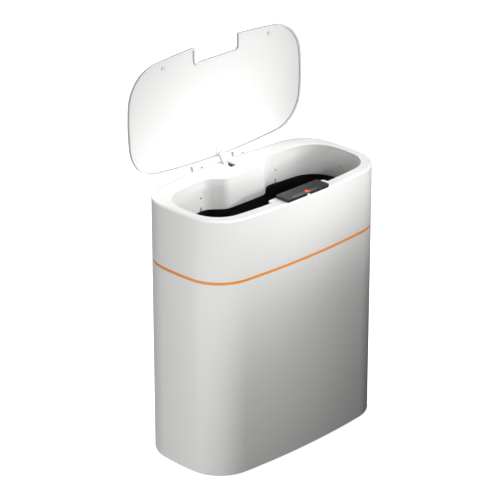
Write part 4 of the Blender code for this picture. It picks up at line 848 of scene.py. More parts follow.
def window_finish():
    """Dark infrared filter, paler in a strip along its front, with a painted red glow round the lamp."""
    finish = Finish("Infrared window")
    cloud = finish.noise(160.0)
    return finish.paint(
        Base_Color=finish.mixed(lens_strip(finish) + cloud * 0.1, colours().window, STRIP_COLOUR),
        Roughness=0.34 + cloud * 0.06,
        Normal=finish.raised(cloud, 0.02, 0.0001),
        # Painted red glow round the status lamp
        Emission_Color=finish.tinted(LAMP_LIGHT, painted_lamp_glow(finish)),
        Emission_Strength=LAMP_STRENGTH,
    )


def lamp_finish():
    """Red lens, brightest in its middle."""
    finish = Finish("Red lamp lens")
    core = finish.clamped(finish.distance_from(LAMP_CENTRE), LAMP_RADIUS, 0.0)
    facets = finish.noise(2600.0, 1.0)
    return finish.paint(
        Base_Color=finish.tinted(colours().lamp, 1.0 + facets * 0.2),
        Roughness=0.20 + facets * 0.10,
        Normal=finish.raised(facets, 0.2, 0.0001),
        Emission_Color=finish.mixed(core, (0.90, 0.05, 0.04), (0.95, 0.09, 0.075)),
        Emission_Strength=LAMP_STRENGTH,
        Coat_Weight=0.6,
    )


def steel_finish():
    """Drawn steel, with fine lines along its length."""
    finish = Finish("Drawn steel")
    lines = finish.noise(4200.0, 3.0, finish.stretched(0.03, 1.0, 1.0))
    cloud = finish.noise(220.0, 3.0)
    return finish.paint(
        Base_Color=finish.tinted((0.60, 0.60, 0.61), 1.0 + lines * 0.2 + cloud * 0.1),
        Metallic=1.0,
        Roughness=0.27 + lines * 0.16 + cloud * 0.1,
        Normal=finish.raised(lines, 0.3, 0.00008),
    )


def nickel_finish():
    """Nickel-plated sheet metal, lightly mottled."""
    look = {"patch": 420.0, "tone": 0.22, "sheen": 0.16, "grain": 3000.0, "relief": 0.15, "swell": 1.0}
    return mottled("Nickel plate", (0.68, 0.65, 0.58), 0.30, depth=0.00008, Metallic=1.0, **look)


def nylon_finish():
    """Natural nylon, a little waxy and uneven."""
    look = {"patch": 120.0, "tone": 0.12, "sheen": 0.14, "grain": 2400.0, "relief": 0.2, "fleck": 0.05}
    wax = {"Subsurface_Weight": 0.06, "Subsurface_Scale": 0.002}
    return mottled("Natural nylon", colours().nylon, 0.46, **look, **wax)


def rubber_finish():
    """Soft grey rubber with a matt, dusty bloom."""
    look = {"patch": 180.0, "tone": 0.35, "sheen": 0.14, "grain": 2600.0, "relief": 0.4, "swell": 0.5}
    return mottled("Grey rubber", (0.115, 0.115, 0.118), 0.78, depth=0.00015, **look)


def silicone_finish():
    """Milky silicone of the lid's pads."""
    look = {"patch": 140.0, "tone": 0.04, "sheen": 0.12, "grain": 1800.0, "relief": 0.15, "fleck": 0.02}
    return mottled("Milky silicone", (0.76, 0.76, 0.75), 0.34, detail=2.0, Subsurface_Weight=0.1, **look)


def lead_finish():
    """Black insulation of the leads, with a faint uneven grain."""
    look = {"patch": 150.0, "tone": 0.4, "sheen": 0.12, "grain": 900.0, "relief": 0.2}
    return mottled("Lead insulation", (0.022, 0.022, 0.024), 0.48, detail=3.0, **look)


def board_finish():
    """Circuit board: green lacquer over traces, with tinned pads."""
    finish = Finish("Circuit board")
    bricks = {"Vector": finish.place, "Scale": 260.0, "Mortar Size": 0.10}
    trace = finish.node("ShaderNodeTexBrick", {}, bricks, "Fac")
    pad = finish.cells(330.0).under(0.16)
    cloud = finish.noise(300.0, 3.0)
    green = finish.tinted(colours().board, 1.0 + cloud * 0.3)
    lacquer = finish.mixed(trace * 0.55, green, (0.05, 0.22, 0.09))
    return finish.paint(
        Base_Color=finish.mixed(pad, lacquer, (0.62, 0.60, 0.55)),
        Metallic=pad * 0.9,
        Roughness=0.38 - pad * 0.1 + cloud * 0.1,
        Normal=finish.raised(trace * 0.6 + pad, 0.3, 0.00015),
        Coat_Weight=0.25,
    )


def cell_finish():
    """Dry cell: a dark sleeve with a copper-coloured band near its plus end and bare metal ends."""
    sleeve_start, band_start, sleeve_end = 0.0538, 0.0925, 0.1026
    finish = Finish("Dry cell sleeve")
    x = finish.axis("X")
    bare = x.under(sleeve_start) + x.over(sleeve_end)
    band = x.over(band_start) * x.under(sleeve_end)
    scuff = finish.noise(500.0, 4.0)
    sleeve = finish.mixed(band, (0.035, 0.036, 0.042), (0.46, 0.22, 0.09))
    return finish.paint(
        Base_Color=finish.mixed(bare, sleeve, (0.60, 0.60, 0.59)),
        Metallic=bare * 0.6 + 0.3,
        Roughness=0.30 + scuff * 0.12,
        Normal=finish.raised(scuff, 0.12, 0.00008),
    )


def floor_finish():
    finish = Finish("Pale floor")
    cloud = finish.noise(1.6, 3.0)
    fine = finish.noise(220.0)
    return finish.paint(
        Base_Color=finish.tinted((0.93, 0.93, 0.93), 1.0 + cloud * 0.01 + fine * 0.005),
        Roughness=0.62 + fine * 0.05,
        Specular_IOR_Level=0.2,
        Emission_Color=(1.0, 1.0, 1.0),
        Emission_Strength=0.80,
    )


FINISHES = {
    "white_shell": shell_finish,
    "white_lid": lid_finish,
    "lid_skin": lid_skin_finish,
    "orange_ring": ring_finish,
    "black_bucket": bucket_finish,
    "smoke_cover": cover_finish,
    "smoke_window": window_finish,
    "red_lamp": lamp_finish,
    "steel": steel_finish,
    "nickel": nickel_finish,
    "nylon": nylon_finish,
    "rubber": rubber_finish,
    "silicone": silicone_finish,
    "lead": lead_finish,
    "board": board_finish,
    "cell": cell_finish,
}


@cache
def finish_of(name):
    """A finish of the table, made the first time it is asked for."""
    return FINISHES[name]()


# Base of the bin


def make_outer_bucket():
    s = sizes()
    profile = [
        (0.0100, BUCKET_LOW, 0),
        (0, BUCKET_LOW, s.base_round),
        (0, BUCKET_TOP, LIP_ROUND),
        (s.wall, BUCKET_TOP, LIP_ROUND),
        (s.wall, BUCKET_FLOOR, s.base_round),
        (0.0120, BUCKET_FLOOR, 0),
    ]
    bucket = new_object("outer_bucket_shell", walls(body_outline, profile))
    for name in FEET:
        cut(bucket, rod(middle_of(name).xy, FOOT_RADIUS + GAP, -OVERRUN, FOOT_HEIGHT + GAP))
    finished(bucket, "base", "white_shell", "outer_bucket")


def make_feet():
    """Rubber pads with a rounded tread and a shallow ring groove."""
    profile = [
        (0.0018, 0.0005),
        (0.0024, 0.0),
        (0.0046, 0.0),
        (0.0050, 0.0004),
        (0.0055, 0.0004),
        (0.0059, 0.0),
        (0.0073, 0.0),
        (0.0078, 0.0002),
        (FOOT_RADIUS, 0.0007),
        (FOOT_RADIUS, FOOT_HEIGHT),
    ]
    for name in FEET:
        pad = new_object(f"{name}_pad", turned(middle_of(name).xy, profile))
        finished(pad, "base", "rubber", name)


def make_seat_ring():
    outer, thickness = sizes().wall + GAP, 0.0018
    inner = outer + thickness
    low, high = (corner.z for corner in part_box("seat_ring"))
    profile = [
        (0.0002, SEAM, 0.0003),
        (0.0002, RING_TOP, 0.0003),
        (outer, RING_TOP, 0),
        (outer, high, LIP_ROUND),
        (inner, high, LIP_ROUND),
        (inner, low, LIP_ROUND),
        (outer, low, LIP_ROUND),
        (outer, SEAM, 0),
    ]
    ring = new_object("seat_ring_band", walls(body_outline, profile, ring=True, steps=3))
    finished(ring, "base", "orange_ring", "seat_ring")


def make_inner_bucket():
    """Tapered black bucket with a rolled lip round its top."""
    top_inset, bottom_inset, wall, apart = 0.0078, 0.0135, 0.0016, 0.0120
    lip, lip_thickness, floor_round = 0.0030, 0.0022, 0.0060
    floor = INNER_BOTTOM + wall
    profile = [
        (bottom_inset + apart, INNER_BOTTOM, 0),
        (bottom_inset, INNER_BOTTOM, floor_round),
        (top_inset, INNER_TOP - lip_thickness, 0.0006),
        (top_inset - lip, INNER_TOP - lip_thickness, 0.0005),
        (top_inset - lip, INNER_TOP, 0.0009),
        (top_inset + wall, INNER_TOP, 0.0008),
        (bottom_inset + wall, floor, floor_round),
        (bottom_inset + wall + apart, floor, 0),
    ]
    bucket = new_object("inner_bucket_liner", walls(body_outline, profile))
    finished(bucket, "base", "black_bucket", "inner_bucket")


# Head


def ear_outline():
    """An ear's eye round the hinge pin, and its root in the rear wall."""
    sink, root_depth = 0.0018, 0.0110
    wall_y = max(crossings(body_outline(), HINGE_X)) - sink / 2
    eye = arc((HINGE.y, HINGE.z), EAR_RADIUS, math.radians(-30), math.radians(190), 28)
    return eye + [Vector((wall_y, RIM_TOP - sink)), Vector((wall_y, RIM_TOP - root_depth))]


def ears():
    """Two ears to each side of both of the lid's knuckles."""
    near = EAR_REACH - EAR_WIDTH
    for side in HINGE_SIDES:
        for low, high in ((side - EAR_REACH, side - near), (side + near, side + EAR_REACH)):
            yield softened(prism(ear_outline(), low, high, "YZ"), EYE_ROUND)


def pin_bore(centre, side, half):
    """Cutter for the hinge pin's bore, through half a width to each side."""
    reach = half + OVERRUN
    return rod(centre, PIN_RADIUS + SHAFT_GAP, side - reach, side + reach, "YZ", 32)


def tongue():
    """The lip that runs from the front rim into the mouth, under the sensor housing."""
    front, _ = mouth_limits()
    root = front - sizes().front_rim / 4
    corners = rectangle(-TONGUE_HALF_LENGTH, TONGUE_HALF_LENGTH, root, front + TONGUE_REACH)
    outline = rounded(corners, [0, 0, TONGUE_ROUND, TONGUE_ROUND])
    edge = 0.0006
    profile = [(0, CEILING, 0), (0, RIM_TOP, edge), (edge * 3, RIM_TOP, 0)]
    return walls(lambda distance: inset(outline, distance), profile, steps=4)


def mouth_cutter():
    """What the mouth removes, flared at its top so that the rim's inner edge is round."""
    r = sizes().mouth_round
    flare = arc((-r, RIM_TOP - r), r, 0, math.pi / 2, 5)
    profile = [(0, CEILING - OVERRUN, 0)] + [(p.x, p.y, 0) for p in flare]
    return walls(mouth_outline, profile + [(-r, RIM_TOP + OVERRUN, 0)])


def key_block():
    """The block that stops the sensor housing from sliding."""
    half, height, depth, root = 0.0024, 0.0023, 0.0005, 0.0030
    back = SENSOR_FRONT + KEY_BACK
    return box(-half, half, back - depth, back, RIM_TOP - root, RIM_TOP + height)


def lift_slot():
    """The slot that the lift rod and the lid's lug pass through."""
    rod_half, gap, lug_high = 0.0026, 0.0008, 0.0060
    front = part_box("lift_rod")[0].y - gap
    rear = sizes().half_depth - sizes().wall
    return box(-rod_half - gap, lug_high + gap, front, rear, CEILING - OVERRUN, RIM_TOP + OVERRUN)


def wall_hole(node, travel, front):
    """A hole through the rear wall for a node and its travel along X."""
    low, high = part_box(node)
    grow = SLIDE_GAP
    back = max(high.y, sizes().half_depth) + OVERRUN
    return box(low.x - grow, high.x + travel + grow, front, back, low.z - grow, high.z + grow)


def rim_mark():
    """A shallow slot in the rim beside the sensor housing."""
    half_width, depth = 0.0009, 0.0012
    outline = slot_outline((-0.0492, -0.0636), (-0.0470, -0.0678), half_width)
    return prism(outline, RIM_TOP - depth, RIM_TOP + OVERRUN)


def make_head_shell():
    s = sizes()
    inner = 0.0080
    profile = [
        (inner, CEILING, 0),
        (s.wall, CEILING, 0.0008),
        (s.wall, HEAD_BOTTOM, LIP_ROUND),
        (0, HEAD_BOTTOM, LIP_ROUND),
        (0, RIM_TOP, s.rim_round),
        (inner, RIM_TOP, 0),
    ]
    shell = new_object("head_shell_moulding", walls(body_outline, profile, steps=9))
    cut(shell, mouth_cutter())
    join(shell, tongue(), key_block(), *ears())
    screws = [middle_of(name).xy for name in SCREWS]
    for place in screws:
        join(shell, rod(place, BOSS_RADIUS, TRAY_SEAT, CEILING + BOSS_ROOT, steps=32))
    for side in HINGE_SIDES:
        cut(shell, pin_bore(HINGE.yz, side, EAR_REACH))
    for place in screws:
        cut(shell, rod(place, SCREW_RADIUS + SHAFT_GAP, SKIRT_BOTTOM, TRAY_SEAT + SCREW_LENGTH, steps=24))
    door = wall_hole("battery_door", 0.0, s.half_depth - s.corner / 2)
    slider = wall_hole("switch_slider", SWITCH_TRAVEL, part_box("switch_slider")[0].y)
    lead_hole = rod(LEAD_HOLE, LEAD_HOLE_RADIUS, CEILING - OVERRUN, RIM_TOP + OVERRUN, steps=24)
    cut(shell, lift_slot(), door, slider, rim_mark(), lead_hole)
    finished(shell, "head", "white_shell", "head_shell")


def make_inner_skirt():
    """The mouth's lining, with its clip holes, slots and ledges."""
    wall = 0.0020
    profile = [
        (0, SKIRT_BOTTOM, 0.0006),
        (0, SKIRT_TOP, 0.0002),
        (-wall, SKIRT_TOP, 0.0002),
        (-wall, SKIRT_BOTTOM, 0.0004),
    ]
    skirt = new_object("mouth_skirt", walls(mouth_outline, profile, ring=True, steps=4))
    hole, hole_z = 0.0015, RIM_TOP - 0.0245
    slot_half, slot_height = 0.0014, 0.0056
    ledge_far, ledge_near, ledge_low = 0.0066, 0.0018, hole_z - 0.0010
    proud, sunk, ledge_round = 0.0007, 0.0010, 0.00015
    low, high = SKIRT_BOTTOM - OVERRUN, SKIRT_BOTTOM + slot_height
    end = sizes().half_length - sizes().end_rim
    for x in (-BULGE_BASE_HALF - CLIP_LEFT, end - CLIP_RIGHT):
        rear = max(crossings(mouth_outline(), x))
        front, behind = rear - OVERRUN, rear + 2 * OVERRUN
        cut(skirt, rod((hole_z, x), hole, front, behind, "ZX", 24))
        cut(skirt, box(x - slot_half, x + slot_half, front, behind, low, high))
        ledge = box(x - ledge_far, x - ledge_near, rear - proud, rear + sunk, ledge_low, hole_z)
        join(skirt, softened(ledge, ledge_round))
    y = sum(mouth_limits()) / 2 + CLIP_BEHIND
    for side in (-1, 1):
        near, far = sorted((side * (end - OVERRUN), side * (end + 2 * OVERRUN)))
        cut(skirt, rod((y, hole_z), hole, near, far, "YZ", 24))
        near, far = sorted((side * (end - proud), side * (end + sunk)))
        ledge = box(near, far, y - ledge_far, y - ledge_near, ledge_low, hole_z)
        join(skirt, softened(ledge, ledge_round))
    finished(skirt, "head", "white_shell", "inner_skirt")


def make_tray():
    """The tray's own node with a finish, and its screws with cross recesses."""
    dress_nodes("white_shell", "drive_tray")
    head, head_high, recess, thin = 0.0026, 0.0016, 0.0009, 0.00035
    wide = head * 0.62
    for name in SCREWS:
        low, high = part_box(name)
        place = middle_of(name).xy
        profile = [
            (head * 0.55, low.z),
            (head * 0.85, low.z + 0.0002),
            (head, low.z + 0.0006),
            (head, low.z + head_high),
            (SCREW_RADIUS, low.z + head_high),
            (SCREW_RADIUS, high.z - 0.0010),
            (SCREW_RADIUS * 0.4, high.z),
        ]
        screw = new_object(f"{name}_fine", turned(place, profile, steps=32))
        for half_x, half_y in ((wide, thin), (thin, wide)):
            x_limits = (place.x - half_x, place.x + half_x)
            y_limits = (place.y - half_y, place.y + half_y)
            cut(screw, box(*x_limits, *y_limits, low.z - OVERRUN, low.z + recess))
        finished(screw, "head", "steel", name)


# Sensor housing


def make_sensor_housing():
    low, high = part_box("sensor_cover")
    wall, edge, pane_corner = 0.0009, 0.0007, 0.0008
    ceiling = high.z - wall
    profile = [
        (wall * 3, ceiling, 0),
        (wall, ceiling, 0.0002),
        (wall, low.z, 0.0001),
        (0, low.z, 0.0002),
        (0, high.z, edge),
        (wall * 3, high.z, 0),
    ]
    cover = new_object("sensor_cover_moulding", walls(sensor_outline, profile, steps=5))
    pane_low, pane_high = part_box("sensor_window")
    x_limits = (pane_low.x - GAP, pane_high.x + GAP)
    hole = rounded_rectangle(*x_limits, pane_low.y - GAP, pane_high.y + GAP, pane_corner)
    cut(cover, prism(hole, ceiling - OVERRUN, high.z + OVERRUN))
    half, top, back = 0.0027, RIM_TOP + 0.0026, SENSOR_FRONT + KEY_BACK + GAP
    cut(cover, box(-half, half, SENSOR_FRONT - OVERRUN, back, low.z - OVERRUN, top))
    finished(cover, "head", "smoke_cover", "sensor_cover")
    dress_nodes("smoke_cover", "sensor_base")


def make_sensor_window():
    corner, edge = 0.0006, 0.00015
    low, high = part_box("sensor_window")
    outline = rounded_rectangle(low.x, high.x, low.y, high.y, corner)
    pane = new_object("sensor_window_pane", softened(prism(outline, low.z, high.z), edge))
    cut(pane, rod(middle_of("status_lamp").xy, LAMP_HOLE_RADIUS, low.z - OVERRUN, high.z + OVERRUN))
    finished(pane, "head", "smoke_window", "sensor_window")
    dress_nodes("smoke_window", "ir_emitter", "ir_receiver")
    dress_nodes("board", "sensor_board")


def make_status_lamp():
    """The lamp's lens, with a rounded crown."""
    low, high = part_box("status_lamp")
    radius, crown, tip, steps = (high.x - low.x) / 2, 0.0013, 0.05, 6
    profile = [(radius, low.z)]
    for i in range(steps + 1):
        angle = math.pi / 2 * i / steps
        share = math.cos(angle) if i < steps else tip
        profile.append((radius * share, high.z + crown * math.sin(angle)))
    lens = new_object("status_lamp_lens", turned(middle_of("status_lamp").xy, profile))
    finished(lens, "head", "red_lamp", "status_lamp")


# Lid


def knuckle_outline():
    """A knuckle's eye round the hinge pin, and its root in the lid."""
    eye = arc((0, 0), KNUCKLE_RADIUS, math.radians(-135), math.radians(100), 30)
    root = HINGE_NOTCH - sizes().lid_lip / 3
    top = LID_BOTTOM + sizes().lid_thickness - HINGE.z - GAP
    return eye + [Vector((root, top)), Vector((root, LID_BOTTOM - HINGE.z + GAP))]


def make_lid_skin():
    """The lid's top with the lip round its underside and the hinge's knuckles."""
    s = sizes()
    overlap = s.lid_lip + 0.0004
    low = LID_BOTTOM - HINGE.z
    high = low + s.lid_thickness
    profile = [
        (overlap, high - LID_SKIN, 0),
        (s.lid_lip, high - LID_SKIN, 0),
        (s.lid_lip, low, 0.0005),
        (0, low, 0.0006),
        (0, high, 0.0012),
        (overlap, high, 0),
    ]
    skin = new_object("lid_skin_moulding", walls(lid_outline, profile))
    half = EAR_REACH + KNUCKLE_GAP
    for side in HINGE_SIDES:
        cut(skin, box(side - half, side + half, HINGE_NOTCH, 0, low - OVERRUN, high + OVERRUN))
    half = KNUCKLE_WIDTH / 2
    for side in HINGE_SIDES:
        join(skin, softened(prism(knuckle_outline(), side - half, side + half, "YZ"), EYE_ROUND))
        cut(skin, pin_bore((0, 0), side, half))
    swing_open(skin)
    finished(skin, "lid", "white_lid", "lid_skin", finish="lid_skin")


def make_lid_panel():
    """The flat panel inside the lip, on the lid's underside."""
    low = LID_BOTTOM + LID_DISH - HINGE.z
    high = LID_BOTTOM + sizes().lid_thickness - LID_SKIN - GAP - HINGE.z
    start, overlap = sizes().lid_lip + GAP, 0.0014
    inner = start + overlap
    profile = [(inner, high, 0), (start, high, 0.0002), (start, low, 0.0005), (inner, low, 0)]
    panel = new_object("lid_panel_moulding", walls(lid_outline, profile))
    swing_open(panel)
    finished(panel, "lid", "white_lid", "lid_panel")


def make_lid_pads():
    """Small silicone pads that the closed lid rests on."""
    for name in ("lid_pad_left", "lid_pad_right"):
        low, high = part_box(name)
        radius = (high.x - low.x) / 2
        profile = [
            (radius * 0.72, low.y),
            (radius * 0.92, low.y + 0.0001),
            (radius, low.y + 0.0004),
            (radius, high.y),
        ]
        pad = new_object(f"{name}_button", turned(middle_of(name).zx, profile, "ZX"))
        finished(pad, "lid", "silicone", name)


def make_hinge():
    """Hinge pins with slightly chamfered ends."""
    chamfer = 0.0003
    for name, side in zip(("hinge_pin_left", "hinge_pin_right"), HINGE_SIDES):
        profile = [
            (PIN_RADIUS * 0.75, side - EAR_REACH),
            (PIN_RADIUS, side - EAR_REACH + chamfer),
            (PIN_RADIUS, side + EAR_REACH - chamfer),
            (PIN_RADIUS * 0.75, side + EAR_REACH),
        ]
        pin = new_object(f"{name}_rod", turned(HINGE.yz, profile, "YZ"))
        finished(pin, "head", "steel", name)


# Drive, battery and control, which mostly stay as their CAD nodes


def dress_drive():
    dress_nodes("nylon", "lift_lug", "lift_rod", "lift_crank")
    dress_nodes("nylon", "output_gear", "second_gear", "first_gear", "motor_pinion")
    dress_nodes("nylon", "gear_plate_inner", "gear_plate_outer", "motor_end_cap")
    dress_nodes("steel", "output_shaft", "first_axle", "second_axle", "motor_shaft", "drive_motor")


def make_battery_door():
    """The door in the rear wall, with a rib behind it and a finger scoop."""
    s = sizes()
    low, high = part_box("battery_door")
    edge, rib, corner, scoop_radius, scoop_depth = 0.0040, 0.0016, 0.0008, 0.0040, 0.0020
    deep = s.wall + rib
    profile = [
        (0, low.z, 0.0003),
        (0, high.z, 0.0003),
        (s.wall, high.z, 0),
        (s.wall, high.z - edge, 0),
        (deep, high.z - edge, 0.0003),
        (deep, low.z + edge, 0.0003),
        (s.wall, low.z + edge, 0),
        (s.wall, low.z, 0),
    ]
    door = new_object("battery_door_panel", walls(body_outline, profile, ring=True, steps=3))
    sides = rounded_rectangle(low.z, high.z, low.x, high.x, corner)
    keep(door, prism(sides, s.half_depth - s.corner / 2, s.half_depth + OVERRUN, "ZX"))
    middle = (low.x + high.x) / 2
    scoop = max(crossings(body_outline(), middle)) + scoop_radius - scoop_depth
    cut(door, rod((middle, scoop), scoop_radius, low.z + edge, high.z - edge))
    finished(door, "battery_door", "white_shell", "battery_door")


def dress_battery():
    dress_nodes("nylon", "battery_box")
    dress_nodes("cell", "battery_cell_lower", "battery_cell_upper")
    dress_nodes("nickel", "battery_contact_minus", "battery_contact_plus", "battery_bridge")


def make_switch_slider():
    """The power switch's slider, with grip grooves across its face."""
    low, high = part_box("switch_slider")
    corner, edge = 0.0006, 0.0002
    outline = rounded_rectangle(low.z, high.z, low.x, high.x, corner)
    knob = new_object("switch_slider_knob", softened(prism(outline, low.y, high.y, "ZX"), edge))
    count, half, depth, margin = 4, 0.0002, 0.0003, 0.0006
    pitch = (high.x - low.x) / (count + 1)
    for i in range(1, count + 1):
        x = low.x + pitch * i
        z_limits = (low.z + margin, high.z - margin)
        cut(knob, box(x - half, x + half, high.y - depth, high.y + OVERRUN, *z_limits))
    finished(knob, "power_switch", "smoke_cover", "switch_slider")


def dress_control():
    dress_nodes("smoke_cover", "switch_body")
    dress_nodes("board", "control_board")
    dress_nodes("lead", "sensor_lead", "motor_lead", "battery_lead")


# Studio


def lamp(name, kind, place, target):
    """A light of one kind at a place, turned to a target."""
    light = new_object(name, bpy.data.lights.new(name, kind))
    light.location = place
    light.rotation_mode = "QUATERNION"
    light.rotation_quaternion = (Vector(target) - light.location).to_track_quat("-Z", "Y")
    return light.data


def sun(name, source, angle, strength):
    """A broad light from far away, whose source is a direction."""
    data = lamp(name, "SUN", Vector(source).normalized() * 4, (0, 0, 0))
    data.angle = math.radians(angle)
    data.energy = strength * bpy.context.scene.bin_studio.light


def spot(name, place, target, angle, power, blend=1.0):
    """A soft beam that fades from its middle to its edge."""
    data = lamp(name, "SPOT", place, target)
    data.spot_size = math.radians(angle)
    data.spot_blend = blend
    data.shadow_soft_size = 0.06
    data.energy = power * bpy.context.scene.bin_studio.light


def make_lights():
    sun("Overhead wash", (0, 0.1, 1), 20, 1.40)
    sun("Rear wash", (0.5, 1, 0.3), 15, 1.95)
    sun("Left wash", (-1, 0.3, -0.3), 60, 1.28)
    sun("Low front wash", (-1.2, -1, -0.2), 60, 0.79)
    spot("Right head beam", (2.0, -1.2, 1.0), (0.17, -0.03, 0.37), 8, 50)
    spot("Wide front beam", (-0.5, -2.0, 1.2), (-0.20, 0.0, 0.75), 40, 45.8, 0.5)
    spot("Left front beam", (-0.6, -2.0, 1.2), (-0.10, -0.08, 0.36), 10, 31.3, 0.8)
    spot("Middle front beam", (-0.2, -2.0, 1.0), (0.10, -0.08, 0.45), 12, 24.3)
    spot("Right front beam", (1.0, -1.8, 1.2), (0.05, -0.08, 0.46), 12, 25.9)
    spot("Low left beam", (-0.6, -2.0, 0.8), (-0.12, -0.08, 0.15), 14, 22)
    spot("Right corner beam", (1.0, -1.8, 0.9), (0.12, -0.05, 0.32), 8, 22)
    spot("Lid beam", (1.0, -1.8, 1.2), (0.05, 0.08, 0.52), 9, 21.3)
    spot("Left lid beam", (-0.4, -2.0, 0.5), (0.0, 0.08, 0.46), 11, 12, 0.8)
    spot("Low lid beam", (0.6, -2.0, 0.7), (0.0, -0.05, 0.52), 16, 36.3, 0.7)
    spot("Rim beam", (0.3, -0.9, 1.5), (-0.05, 0.0, 0.40), 18, 7.0)
    spot("Mouth beam", (1.2, -1.2, 1.6), (-0.05, -0.02, 0.42), 12, 53.5, 0.8)


def make_world():
    world = bpy.data.worlds.new("Studio")
    world.use_nodes = True
    background = world.node_tree.nodes["Background"]
    background.inputs["Color"].default_value = (1.0, 1.0, 1.0, 1.0)
    background.inputs["Strength"].default_value = 0.062
    bpy.context.scene.world = world


def make_floor():
    """A wide pale floor that throws no light or shadow on the bin."""
    mesh = bpy.data.meshes.new("studio_floor")
    work = bmesh.new()
    bmesh.ops.create_grid(work, x_segments=FLOOR_SQUARES, y_segments=FLOOR_SQUARES, size=FLOOR_HALF)
    work.to_mesh(mesh)
    work.free()
    mesh.materials.append(floor_finish())
    floor = new_object("studio_floor", mesh)
    floor.visible_diffuse = False
    floor.visible_glossy = False
    floor.visible_shadow = False


def make_camera():
    studio = bpy.context.scene.bin_studio
    a, e = studio.azimuth, studio.elevation
    forward = Vector((-math.sin(a) * math.cos(e), math.cos(a) * math.cos(e), -math.sin(e)))
    right = forward.cross(Vector((0, 0, 1))).normalized()
    up = right.cross(forward)
    data = bpy.data.cameras.new("Camera")
    data.sensor_width = CAMERA_SENSOR
    data.lens = CAMERA_LENS
    data.clip_start = 0.1
    data.clip_end = 100.0
    camera = new_object("Camera", data)
    target = CAMERA_AIM + right * CAMERA_RIGHT + up * CAMERA_UP
    turn = Matrix((right, up, -forward)).transposed().to_4x4()
    camera.matrix_world = Matrix.Translation(target - forward * studio.distance) @ turn
    bpy.context.scene.camera = camera


# Operators, panel and registration


class BinOperator:
    """Runs the making functions of one piece or group of like pieces."""

    bl_options = {"REGISTER", "UNDO"}
    steps = ()

    def execute(self, context):
        for step in self.steps:
            step()
        return {"FINISHED"}


class BIN_OT_outer_bucket(BinOperator, bpy.types.Operator):
    """Build the white outer bucket."""

    bl_idname = "sensor_bin.outer_bucket"
    bl_label = "Outer bucket"
    steps = (make_outer_bucket,)


class BIN_OT_feet(BinOperator, bpy.types.Operator):
    """Build the four rubber feet."""

    bl_idname = "sensor_bin.feet"
    bl_label = "Feet"
    steps = (make_feet,)


class BIN_OT_seat_ring(BinOperator, bpy.types.Operator):
    """Build the orange ring between the bucket and the head."""

    bl_idname = "sensor_bin.seat_ring"
    bl_label = "Seat ring"
    steps = (make_seat_ring,)


class BIN_OT_inner_bucket(BinOperator, bpy.types.Operator):
    """Build the black inner bucket."""

    bl_idname = "sensor_bin.inner_bucket"
    bl_label = "Inner bucket"
    steps = (make_inner_bucket,)


class BIN_OT_head(BinOperator, bpy.types.Operator):
    """Build the head's shell with its rim, tongue, ears and openings."""

    bl_idname = "sensor_bin.head"
    bl_label = "Head shell"
    steps = (make_head_shell,)


class BIN_OT_skirt(BinOperator, bpy.types.Operator):
    """Build the skirt that lines the mouth."""

    bl_idname = "sensor_bin.skirt"
    bl_label = "Mouth skirt"
    steps = (make_inner_skirt,)


class BIN_OT_tray(BinOperator, bpy.types.Operator):
    """Finish the drive tray and build its screws."""

    bl_idname = "sensor_bin.tray"
    bl_label = "Drive tray"
    steps = (make_tray,)


class BIN_OT_sensor(BinOperator, bpy.types.Operator):
    """Build the sensor housing, its window and its lamp."""

    bl_idname = "sensor_bin.sensor"
    bl_label = "Sensor housing"
    steps = (make_sensor_housing, make_sensor_window, make_status_lamp)


class BIN_OT_lid(BinOperator, bpy.types.Operator):
    """Build the lid's skin, panel and silicone pads."""

    bl_idname = "sensor_bin.lid"
    bl_label = "Lid"
    steps = (make_lid_skin, make_lid_panel, make_lid_pads)


class BIN_OT_hinge(BinOperator, bpy.types.Operator):
    """Build the hinge pins."""

    bl_idname = "sensor_bin.hinge"
    bl_label = "Hinge"
    steps = (make_hinge,)


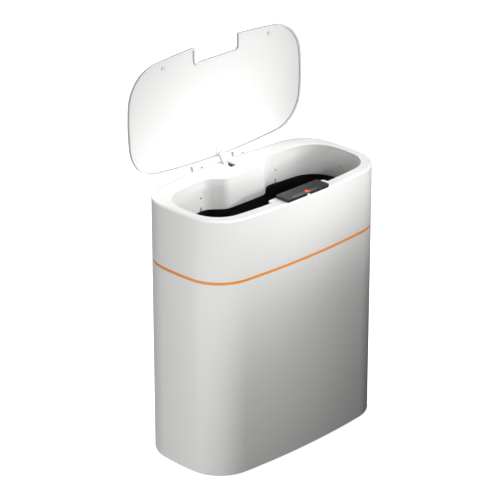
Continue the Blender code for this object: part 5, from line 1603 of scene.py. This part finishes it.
class BIN_OT_drive(BinOperator, bpy.types.Operator):
    """Finish the lift linkage, the gears and the motor."""

    bl_idname = "sensor_bin.drive"
    bl_label = "Lift drive"
    steps = (dress_drive,)


class BIN_OT_battery(BinOperator, bpy.types.Operator):
    """Build the battery door and finish the battery box, cells and contacts."""

    bl_idname = "sensor_bin.battery"
    bl_label = "Battery"
    steps = (make_battery_door, dress_battery)


class BIN_OT_control(BinOperator, bpy.types.Operator):
    """Build the switch's slider and finish the control board and the leads."""

    bl_idname = "sensor_bin.control"
    bl_label = "Control and leads"
    steps = (make_switch_slider, dress_control)


class BIN_OT_stage(BinOperator, bpy.types.Operator):
    """Set up the pale floor, the soft lights and the camera."""

    bl_idname = "sensor_bin.stage"
    bl_label = "Studio"
    steps = (make_world, make_floor, make_lights, make_camera)


# The operators in the order in which they are written above
OPERATORS = tuple(BinOperator.__subclasses__())


class BIN_PT_sidebar(bpy.types.Panel):
    """Lists the sensor bin's pieces, sizes, colours and studio."""

    bl_label = "Sensor Bin"
    bl_idname = "BIN_PT_sidebar"
    bl_space_type = "VIEW_3D"
    bl_region_type = "UI"
    bl_category = "Sensor Bin"

    def draw(self, context):
        column = self.layout.column(align=True)
        for operator in OPERATORS:
            column.operator(operator.bl_idname)
        for group in (context.scene.bin_sizes, context.scene.bin_colours, context.scene.bin_studio):
            settings = self.layout.box()
            for name in group.__annotations__:
                settings.prop(group, name)


CLASSES = (BinSizes, BinColours, BinStudio, *OPERATORS, BIN_PT_sidebar)


def register():
    for item in CLASSES:
        bpy.utils.register_class(item)
    bpy.types.Scene.bin_sizes = PointerProperty(type=BinSizes)
    bpy.types.Scene.bin_colours = PointerProperty(type=BinColours)
    bpy.types.Scene.bin_studio = PointerProperty(type=BinStudio)


def unregister():
    del bpy.types.Scene.bin_sizes
    del bpy.types.Scene.bin_colours
    del bpy.types.Scene.bin_studio
    for item in reversed(CLASSES):
        bpy.utils.unregister_class(item)


def main():
    register()
    bpy.context.scene.view_settings.view_transform = "Standard"
    for operator in OPERATORS:
        group, name = operator.bl_idname.split(".")
        getattr(getattr(bpy.ops, group), name)()


if __name__ == "__main__":
    main()
